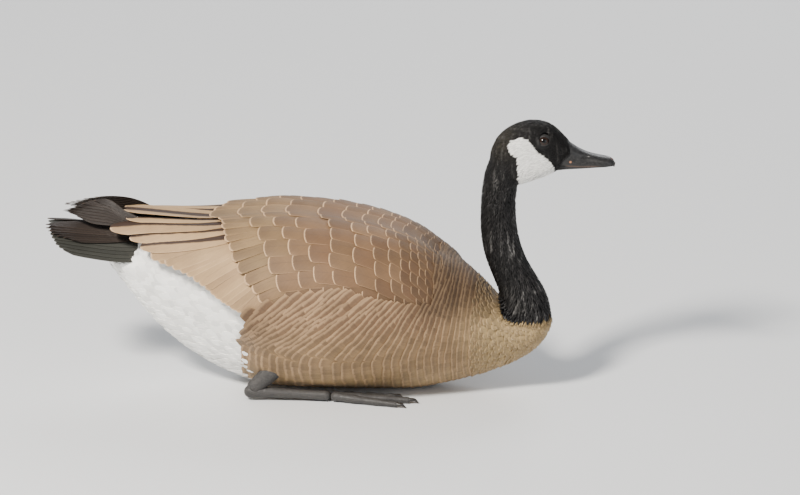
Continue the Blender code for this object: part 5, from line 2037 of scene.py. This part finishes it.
@dataclass
class Eyes:
    """The eyes, with the lids and the folds round them."""

    x: float = 0.2258
    z: float = 0.2791
    y: float = 0.0122
    radius: float = 0.0061
    outward: Triple = (0.1, 0.92, 0.36)
    lid: float = 0.00085
    opening: Pair = (0.0054, 0.0048)

    def basis(self, side: Side) -> tuple[Array, Array, Array, Array]:
        """Where an eye is and how it is turned.

        Args:
            side: Which side of the goose.

        Returns:
            Its middle, and its outward, level and upright directions.
        """
        out = unit(np.array(self.outward) * side.flip)
        level = unit(np.cross(np.array([0.0, 0.0, 1.0]), out) * side.value)
        upright = unit(np.cross(out, level) * side.value)
        return np.array([self.x, self.y * side.value, self.z]), out, level, upright * np.sign(upright[2])

    def ball(self, side: Side) -> Piece:
        """Make the eyeball.

        Args:
            side: Which side of the goose.

        Returns:
            The new object.
        """
        centre, out, level, upright = self.basis(side)
        fall = np.linspace(0.02, math.pi - 0.02, 33)[:, None]
        turn = np.linspace(0, math.tau, 48, endpoint=False)[None]
        ring = np.cos(turn)[..., None] * level + np.sin(turn)[..., None] * upright
        rings = centre + self.radius * (np.cos(fall)[..., None] * out + np.sin(fall)[..., None] * ring)
        piece = lofted(f"eyeball_{side.word}", rings, None)
        store(piece.data, "Gaze", unit(corners_of(piece.data) - centre) @ out)
        return piece

    def lids(self, side: Side) -> Piece:
        """Make the rim of both lids, and two folds of skin behind it.

        Args:
            side: Which side of the goose.

        Returns:
            The new object.
        """
        centre, out, level, upright = self.basis(side)
        rings = []
        for grow, deep, thick in ((1.0, 0.003, 1.0), (1.22, 0.0024, 0.75), (1.42, 0.0018, 0.6)):
            turn = np.linspace(0, math.tau, 56, endpoint=False)[:, None]
            small = np.linspace(0, math.tau, 12, endpoint=False)[None]
            across, high = np.cos(turn), np.sin(turn)
            corner = 1 + 0.1 * np.abs(across) ** 6
            heavy = self.lid * thick * (1 + 0.35 * np.maximum(high, 0) - 0.45 * np.abs(across) ** 4)
            wide, tall = self.opening[0] * grow * corner, self.opening[1] * grow
            spread = 1 + heavy / wide * np.cos(small)
            level_part = (across * wide * spread)[..., None] * level
            upright_part = (high * tall * spread)[..., None] * upright
            dome = np.sqrt(np.maximum(self.radius ** 2 - (across * wide) ** 2 - (high * tall) ** 2, 0.0))
            depth = np.where(grow > 1.1, deep, np.maximum(dome, deep * 0.8)) + heavy * np.sin(small)
            rings.append(centre + level_part + upright_part + depth[..., None] * out)
        name = f"lids_{side.word}"
        pieces = []
        for ring in rings:
            faces = grid_faces(ring.shape[0] + 1, ring.shape[1], True) % (ring.shape[0] * ring.shape[1])
            pieces.append(mesh_piece(name, ring.reshape(-1, 3), faces))
            bm = bmesh.new()
            bm.from_mesh(pieces[-1].data)
            bmesh.ops.recalc_face_normals(bm, faces=bm.faces)
            bm.to_mesh(pieces[-1].data)
            bm.free()
        return joined(name, pieces)


@dataclass
class Feet:
    """The legs and webbed feet, folded under the body."""

    knee: Triple = (-0.034, 0.052, 0.052)
    shin: Triple = (-0.068, 0.058, 0.0195)
    ankle: Triple = (-0.08, 0.06, 0.0092)
    joint: Triple = (0.006, 0.058, 0.0062)
    toes: tuple[Triple, ...] = (
        (0.073, 0.0455, 0.0043), (0.09, 0.058, 0.0047), (0.078, 0.072, 0.0043))
    shin_radii: tuple[float, ...] = (0.012, 0.0086, 0.0074)
    shank_radii: tuple[float, ...] = (0.0076, 0.0056, 0.005, 0.0058)
    hind_radii: tuple[float, ...] = (0.004, 0.0028, 0.0018)
    claw_radii: tuple[float, ...] = (0.0027, 0.0022, 0.0006)
    joint_radius: float = 0.0056
    shank_flat: float = 0.95
    toe_flat: float = 0.9
    claw_flat: float = 0.8
    knuckles: float = 0.1
    claw: float = 0.0085
    claw_tip: float = 0.001
    web: float = 0.0011

    @staticmethod
    def limb(
        name: str, line: Array, radii: Array, flat: float = 1.0, knuckles: float = 0.0, count: int = 48
    ) -> Piece:
        """Make a limb round a line.

        Args:
            name: The piece's name.
            line: Points that it runs through.
            radii: Its radius at each.
            flat: Its height as a share of its width.
            knuckles: How much it swells at its joints, as a share of its radius.
            count: How many rings it has.

        Returns:
            The new object.
        """
        step = walk(line)
        share = step / step[-1]
        at = 0.5 - 0.5 * np.cos(np.pi * np.linspace(0.02, 0.98, count))
        points = np.stack([curve(tuple(zip(share, line[:, k])), at) for k in range(3)], axis=-1)
        radius = curve(tuple(zip(share, radii)), at) * (1 + knuckles * np.cos(at * math.tau * 3) ** 3)
        cap = np.clip(np.minimum(at, 1 - at) * step[-1] / radius, 0, 1)
        radius = radius * np.sqrt(1 - (1 - cap) ** 2)
        ahead = unit(np.gradient(points, axis=0))
        side = unit(np.cross(ahead, np.array([0.0, 0.0, 1.0])))
        high = unit(np.cross(side, ahead))
        turn = np.linspace(0, math.tau, 20, endpoint=False)
        level, upright = np.cos(turn)[None, :, None], np.sin(turn)[None, :, None]
        ring = side[:, None] * level + high[:, None] * flat * upright
        rings = points[:, None] + ring * radius[:, None, None]
        rings[..., 2] = np.maximum(rings[..., 2], 0.0)
        return lofted(name, rings)

    def leg(self, side: Side) -> Piece:
        """Make the shin, the ankle and the shank.

        Args:
            side: Which side of the goose.

        Returns:
            The new object.
        """
        name = f"shank_{side.word}"
        heel, joint = np.array(self.ankle), np.array(self.joint)
        shin = np.array([self.knee, self.shin, self.ankle])
        shank = np.array([heel - (0.005, 0, 0), heel * 0.7 + joint * 0.3, heel * 0.35 + joint * 0.65, joint])
        pieces = [
            self.limb(name, shin * side.flip, self.shin_radii),
            self.limb(name, shank * side.flip, self.shank_radii, self.shank_flat),
        ]
        return joined(name, pieces)

    def foot(self, side: Side) -> Piece:
        """Make the toes, the hind toe and the webs.

        Args:
            side: Which side of the goose.

        Returns:
            The new object.
        """
        name = f"toes_{side.word}"
        joint = np.array(self.joint)
        pieces, tips = [], []
        for x, y, radius in self.toes:
            tip = np.array([x, y, radius * 0.8])
            middle = (joint + tip) / 2
            middle[2] = radius * 1.05
            line = np.array([joint, middle, tip])
            radii = (self.joint_radius, radius, radius * 0.72)
            pieces.append(self.limb(name, line * side.flip, radii, self.toe_flat, self.knuckles))
            tips.append(tip)
        hind = np.array([joint, joint + (-0.008, -0.006, -0.0005), joint + (-0.015, -0.009, -0.003)])
        pieces.append(self.limb(name, hind * side.flip, self.hind_radii, count=20))
        for first, second in zip(tips, tips[1:]):
            pieces.append(self.membrane(name, first, second, side))
        return joined(name, pieces)

    def membrane(self, name: str, first: Array, second: Array, side: Side) -> Piece:
        """Make the thin web between two toes.

        Args:
            name: The piece's name.
            first: One toe's tip.
            second: The other toe's tip.
            side: Which side it is on.

        Returns:
            The new object.
        """
        joint = np.array(self.joint)
        out = np.linspace(0.04, 1.0, 26)[:, None, None]
        across = np.linspace(0, 1, 15)[None, :, None]
        hollow = 1 - 0.22 * np.sin(np.pi * across) * out ** 3
        reach = first * (1 - across) + second * across
        points = joint + (reach - joint) * out * 0.93 * hollow
        out, across = out[..., 0], across[..., 0]
        ripple = 0.0006 * np.sin(across * 21) * np.sin(out * 5)
        points[..., 2] = 0.003 + 0.0012 * (1 - out) - 0.001 * np.sin(np.pi * across) + ripple
        under = points - np.array([0.0, 0.0, self.web])
        return lofted(name, np.concatenate([points, under[:, ::-1]], axis=1) * side.flip)

    def claws(self, side: Side) -> Piece:
        """Make the claws.

        Args:
            side: Which side of the goose.

        Returns:
            The new object.
        """
        joint = np.array(self.joint)
        name = f"claws_{side.word}"
        pieces = []
        for x, y, radius in self.toes:
            tip = np.array([x, y, radius * 0.9])
            ahead = unit((tip - joint) * (1, 1, 0))
            line = np.array([tip - ahead * 0.003, tip + ahead * self.claw * 0.4, tip + ahead * self.claw])
            line[2, 2] = self.claw_tip
            pieces.append(self.limb(name, line * side.flip, self.claw_radii, self.claw_flat, count=20))
        return joined(name, pieces)


@dataclass
class Studio:
    """The pale floor, the soft lights and the camera at the photo's angle."""

    metres_a_pixel: float = 0.00105
    width: int = 800
    height: int = 495
    elevation: float = 19.5
    azimuth: float = 5.0
    origin_column: float = 330.0
    origin_row: float = 382.3
    distance: float = 24.0
    sensor: float = 36.0
    target: Triple = (0.0, 0.0, 0.12)
    sky: Colour = (0.88, 0.91, 0.95)
    sky_power: float = 0.43
    floor: Colour = (0.72, 0.73, 0.74)
    floor_roughness: float = 0.8

    def camera(self) -> None:
        """Make the camera."""
        e, a = math.radians(self.elevation), math.radians(self.azimuth)
        back = Vector((math.sin(a) * math.cos(e), -math.cos(a) * math.cos(e), math.sin(e)))
        right = Vector((math.cos(a), math.sin(a), 0.0))
        up = back.cross(right)
        shift = right * (self.width / 2 - self.origin_column) + up * (self.origin_row - self.height / 2)
        data = bpy.data.cameras.new("camera")
        data.sensor_width = self.sensor
        data.lens = self.sensor * self.distance / (self.width * self.metres_a_pixel)
        data.clip_end = 90.0
        camera = linked("camera", data)
        camera.location = shift * self.metres_a_pixel + back * self.distance
        camera.rotation_euler = back.to_track_quat("Z", "Y").to_euler()
        bpy.context.scene.camera = camera

    def light(self, name: str, place: Triple, size: float, power: float, colour: Colour) -> None:
        """Make one area light that looks at the goose.

        Args:
            name: The light's name.
            place: Where it hangs.
            size: Its width.
            power: Its power in watts.
            colour: Its colour.
        """
        data = bpy.data.lights.new(name, "AREA")
        data.size = size
        data.energy = power
        data.color = colour
        light = linked(name, data)
        light.location = place
        light.rotation_euler = (Vector(place) - Vector(self.target)).to_track_quat("Z", "Y").to_euler()

    def build(self) -> None:
        """Make the floor, the lights, the sky and the camera."""
        self.camera()
        self.light("key", (-1.3, -2.0, 2.5), 0.6, 232.0, (1.0, 0.95, 0.88))
        self.light("fill", (2.4, -2.2, 1.3), 2.4, 30.0, (0.96, 0.98, 1.0))
        self.light("back", (0.6, 2.6, 1.9), 1.8, 50.0, (0.97, 0.98, 1.0))
        world = bpy.data.worlds.new("sky")
        world.use_nodes = True
        NodeTree(world.node_tree).put(world.node_tree.nodes["Background"], {0: self.sky, 1: self.sky_power})
        bpy.context.scene.world = world
        bpy.ops.mesh.primitive_plane_add(size=80.0)
        floor = bpy.context.object
        floor.name = "floor"
        material, nodes, shader = started("pale_floor")
        nodes.put(shader, {"Base Color": self.floor, "Roughness": self.floor_roughness})
        floor.data.materials.append(material)


class Finishes:
    """Every finish of the goose."""

    wing: tuple[Colour, Colour] = ((0.15, 0.082, 0.042), (0.56, 0.365, 0.205))
    sunlit: tuple[Colour, Colour] = ((0.4, 0.245, 0.134), (0.62, 0.43, 0.265))

    def __init__(self) -> None:
        """Build the shared effects and the materials."""
        effects = Effects()
        # Painted shade: the bare skin under the coat is a darker brown than the feathers.
        self.skin = Plumage(
            "skin_down", (0.095, 0.058, 0.034), self.wing[1], bare=True).material(effects)
        self.contour = Plumage(
            "contour_feathers", (0.19, 0.108, 0.056), (0.5, 0.325, 0.175), side_width=0.1, tip_width=0.16,
            fringe_share=0.52, band_share=0.4).material(effects)
        self.breast = Plumage(
            "breast_feathers", (0.112, 0.068, 0.038), (0.43, 0.305, 0.162), side_width=0.2, tip_width=0.16,
            fringe_share=0.65).material(effects)
        self.covert = Plumage(
            "covert_feathers", *self.wing, side_width=0.05, tip_width=0.045,
            fringe_share=0.85).material(effects)
        # Both carry painted shade on their inner webs, under the feather above.
        self.tertial, self.secondary = (
            Plumage(name, *self.sunlit, side_width=0.1, tip_width=0.02, fringe_share=0.8, band_share=0.15,
                    shaded_inner_web=web).material(effects)
            for name, web in (("tertial_feathers", 0.6), ("secondary_feathers", 0.44)))
        self.white = Plumage(
            "white_feathers", *self.wing, roughness=0.8, relief=0.15, sheen=0.2).material(effects)
        self.hood = Plumage(
            "hood_feathers", (0.02, 0.018, 0.017), (0.03, 0.028, 0.026), barbs=6.0, roughness=0.46,
            relief=0.2, sheen=0.0, specular=0.22, painted_gloss_share=0.4).material(effects)
        self.pinion = Plumage(
            "pinion_feathers", (0.021, 0.015, 0.012), (0.066, 0.046, 0.034), side_width=0.12,
            tip_width=0.03, fringe_share=0.8, band_share=0.2, band=(0.012, 0.009, 0.008),
            shaft=(0.01, 0.008, 0.007), shaft_width=0.05, barbs=60.0, roughness=0.48).material(effects)
        self.rudder = Plumage(
            "rudder_feathers", (0.033, 0.033, 0.028), (0.065, 0.063, 0.052), side_width=0.12,
            tip_width=0.03, fringe_share=0.6, band_share=0.2, band=(0.03, 0.029, 0.024),
            shaft=(0.02, 0.018, 0.015), shaft_width=0.05, barbs=60.0, roughness=0.55).material(effects)
        mirrored = (-1, 1)
        # Painted shade: near-black at the corners of the mouth, where the bill meets the face.
        mouth_corner_shade = [((0.243, 0.012 * sign, 0.25), 0.0062, (0.003, 0.003, 0.003)) for sign in mirrored]
        tints = [((0.2536, 0.0118 * sign, 0.2568), 0.0013, (0.44, 0.19, 0.09)) for sign in mirrored]
        # Painted shade: near-black spots in the hollows of the nostrils.
        nostril_shade = [((x, 0.0085 * sign, 0.2612), 0.0019, (0.002, 0.002, 0.002))
                   for x in (0.2672, 0.27) for sign in mirrored]
        self.bill = Horn(
            "bill_horn", (0.008, 0.0076, 0.0076), (0.024, 0.0225, 0.022), roughness=0.41, scale=420.0,
            relief=0.25, spots=(*mouth_corner_shade, *tints, *nostril_shade)).material(effects)
        # Painted highlight: a small orange-red glint on the nail at the bill's tip.
        nail_glint = ((0.2955, 0.0, 0.257), 0.0022, (0.16, 0.055, 0.035))
        self.nail = Horn(
            "nail_horn", (0.022, 0.018, 0.017), (0.06, 0.045, 0.04), roughness=0.28, scale=500.0,
            relief=0.15, spots=(nail_glint,)).material(effects)
        self.lid = Horn(
            "lid_skin", (0.007, 0.006, 0.006), (0.022, 0.018, 0.016), roughness=0.58, scale=2200.0,
            relief=0.6).material(effects)
        self.foot = Horn(
            "foot_skin", (0.03, 0.028, 0.027), (0.075, 0.07, 0.066), roughness=0.5, scale=520.0,
            relief=0.8, scales=True).material(effects)
        self.claw = Horn(
            "claw_horn", (0.02, 0.018, 0.017), (0.06, 0.052, 0.045), roughness=0.3, scale=700.0,
            relief=0.2).material(effects)
        self.eye = EyeGlaze().material()


class Goose:
    """The whole goose."""

    def __init__(self) -> None:
        """Prepare the shapes that its pieces are laid on."""
        self.finishes = Finishes()
        self.unwrap = Unwrap()
        self.sheet = WingSheet()
        self.markings = Markings()
        self.form = Form(self.sheet)
        LOG.info("form: %d corners", len(self.form.points))

    def dress_body(self) -> None:
        """Lay the skin and the small feathers."""
        finish = self.finishes
        place_piece(self.form.skin(self.markings), finish.skin, Slot.TAN, *self.form.flesh)
        body = Body(self.form, Flow(), self.markings, self.sheet, self.unwrap)
        finishes = {Slot.BLACK: finish.hood, Slot.TAN: finish.breast, Slot.WHITE: finish.white}
        for tract in body.tracts:
            place_piece(body.build(tract), finishes[tract.slot], tract.slot)
        for name, ends, seed in body.sides:
            place_piece(body.side_rows(name, ends, seed), finish.contour, Slot.BROWN)

    def dress_wings(self) -> None:
        """Lay the wings, the primaries and the tail."""
        finish = self.finishes
        wings = Wings(self.sheet, self.unwrap)
        tertials = wings.build("tertials", wings.tertials)
        place_piece(tertials, finish.tertial, Slot.BROWN, *self.form.wings)
        place_piece(wings.build("secondaries", wings.secondaries), finish.secondary, Slot.BROWN)
        place_piece(wings.build("coverts", wings.coverts), finish.covert, Slot.BROWN)
        place_piece(wings.spine(), finish.covert, Slot.BROWN)
        primaries = Primaries(self.unwrap)
        for side in Side:
            place_piece(primaries.build(side), finish.pinion, Slot.BLACK, f"primaries_{side.word}")
        tail = Tail(self.unwrap)
        place_piece(tail.build(), finish.rudder, Slot.BLACK, "tail")
        for side in Side:
            place_piece(tail.folded_primaries(side), finish.pinion, Slot.BLACK)

    def dress_head(self) -> None:
        """Set the bill, the eyes and the lids."""
        finish = self.finishes
        bill = Bill()
        place_piece(bill.upper(), finish.bill, Slot.BILL, "bill_upper")
        place_piece(bill.lower(), finish.bill, Slot.BILL, "bill_lower")
        place_piece(bill.nail(), finish.nail, Slot.BILL)
        eyes = Eyes()
        for side in Side:
            place_piece(eyes.ball(side), finish.eye, Slot.EYE, f"eye_{side.word}")
            place_piece(eyes.lids(side), finish.lid, Slot.BILL)

    def dress_feet(self) -> None:
        """Set the legs, the toes and the claws."""
        finish = self.finishes
        feet = Feet()
        for side in Side:
            place_piece(feet.leg(side), finish.foot, Slot.LEG, f"leg_{side.word}")
            place_piece(feet.foot(side), finish.foot, Slot.LEG, f"foot_{side.word}")
            place_piece(feet.claws(side), finish.claw, Slot.LEG)


def main() -> None:
    """Build the goose and its studio."""
    logging.basicConfig(level=logging.INFO, format="%(message)s")
    Studio().build()
    goose = Goose()
    goose.dress_body()
    goose.dress_wings()
    goose.dress_head()
    goose.dress_feet()


if __name__ == "__main__":
    main()
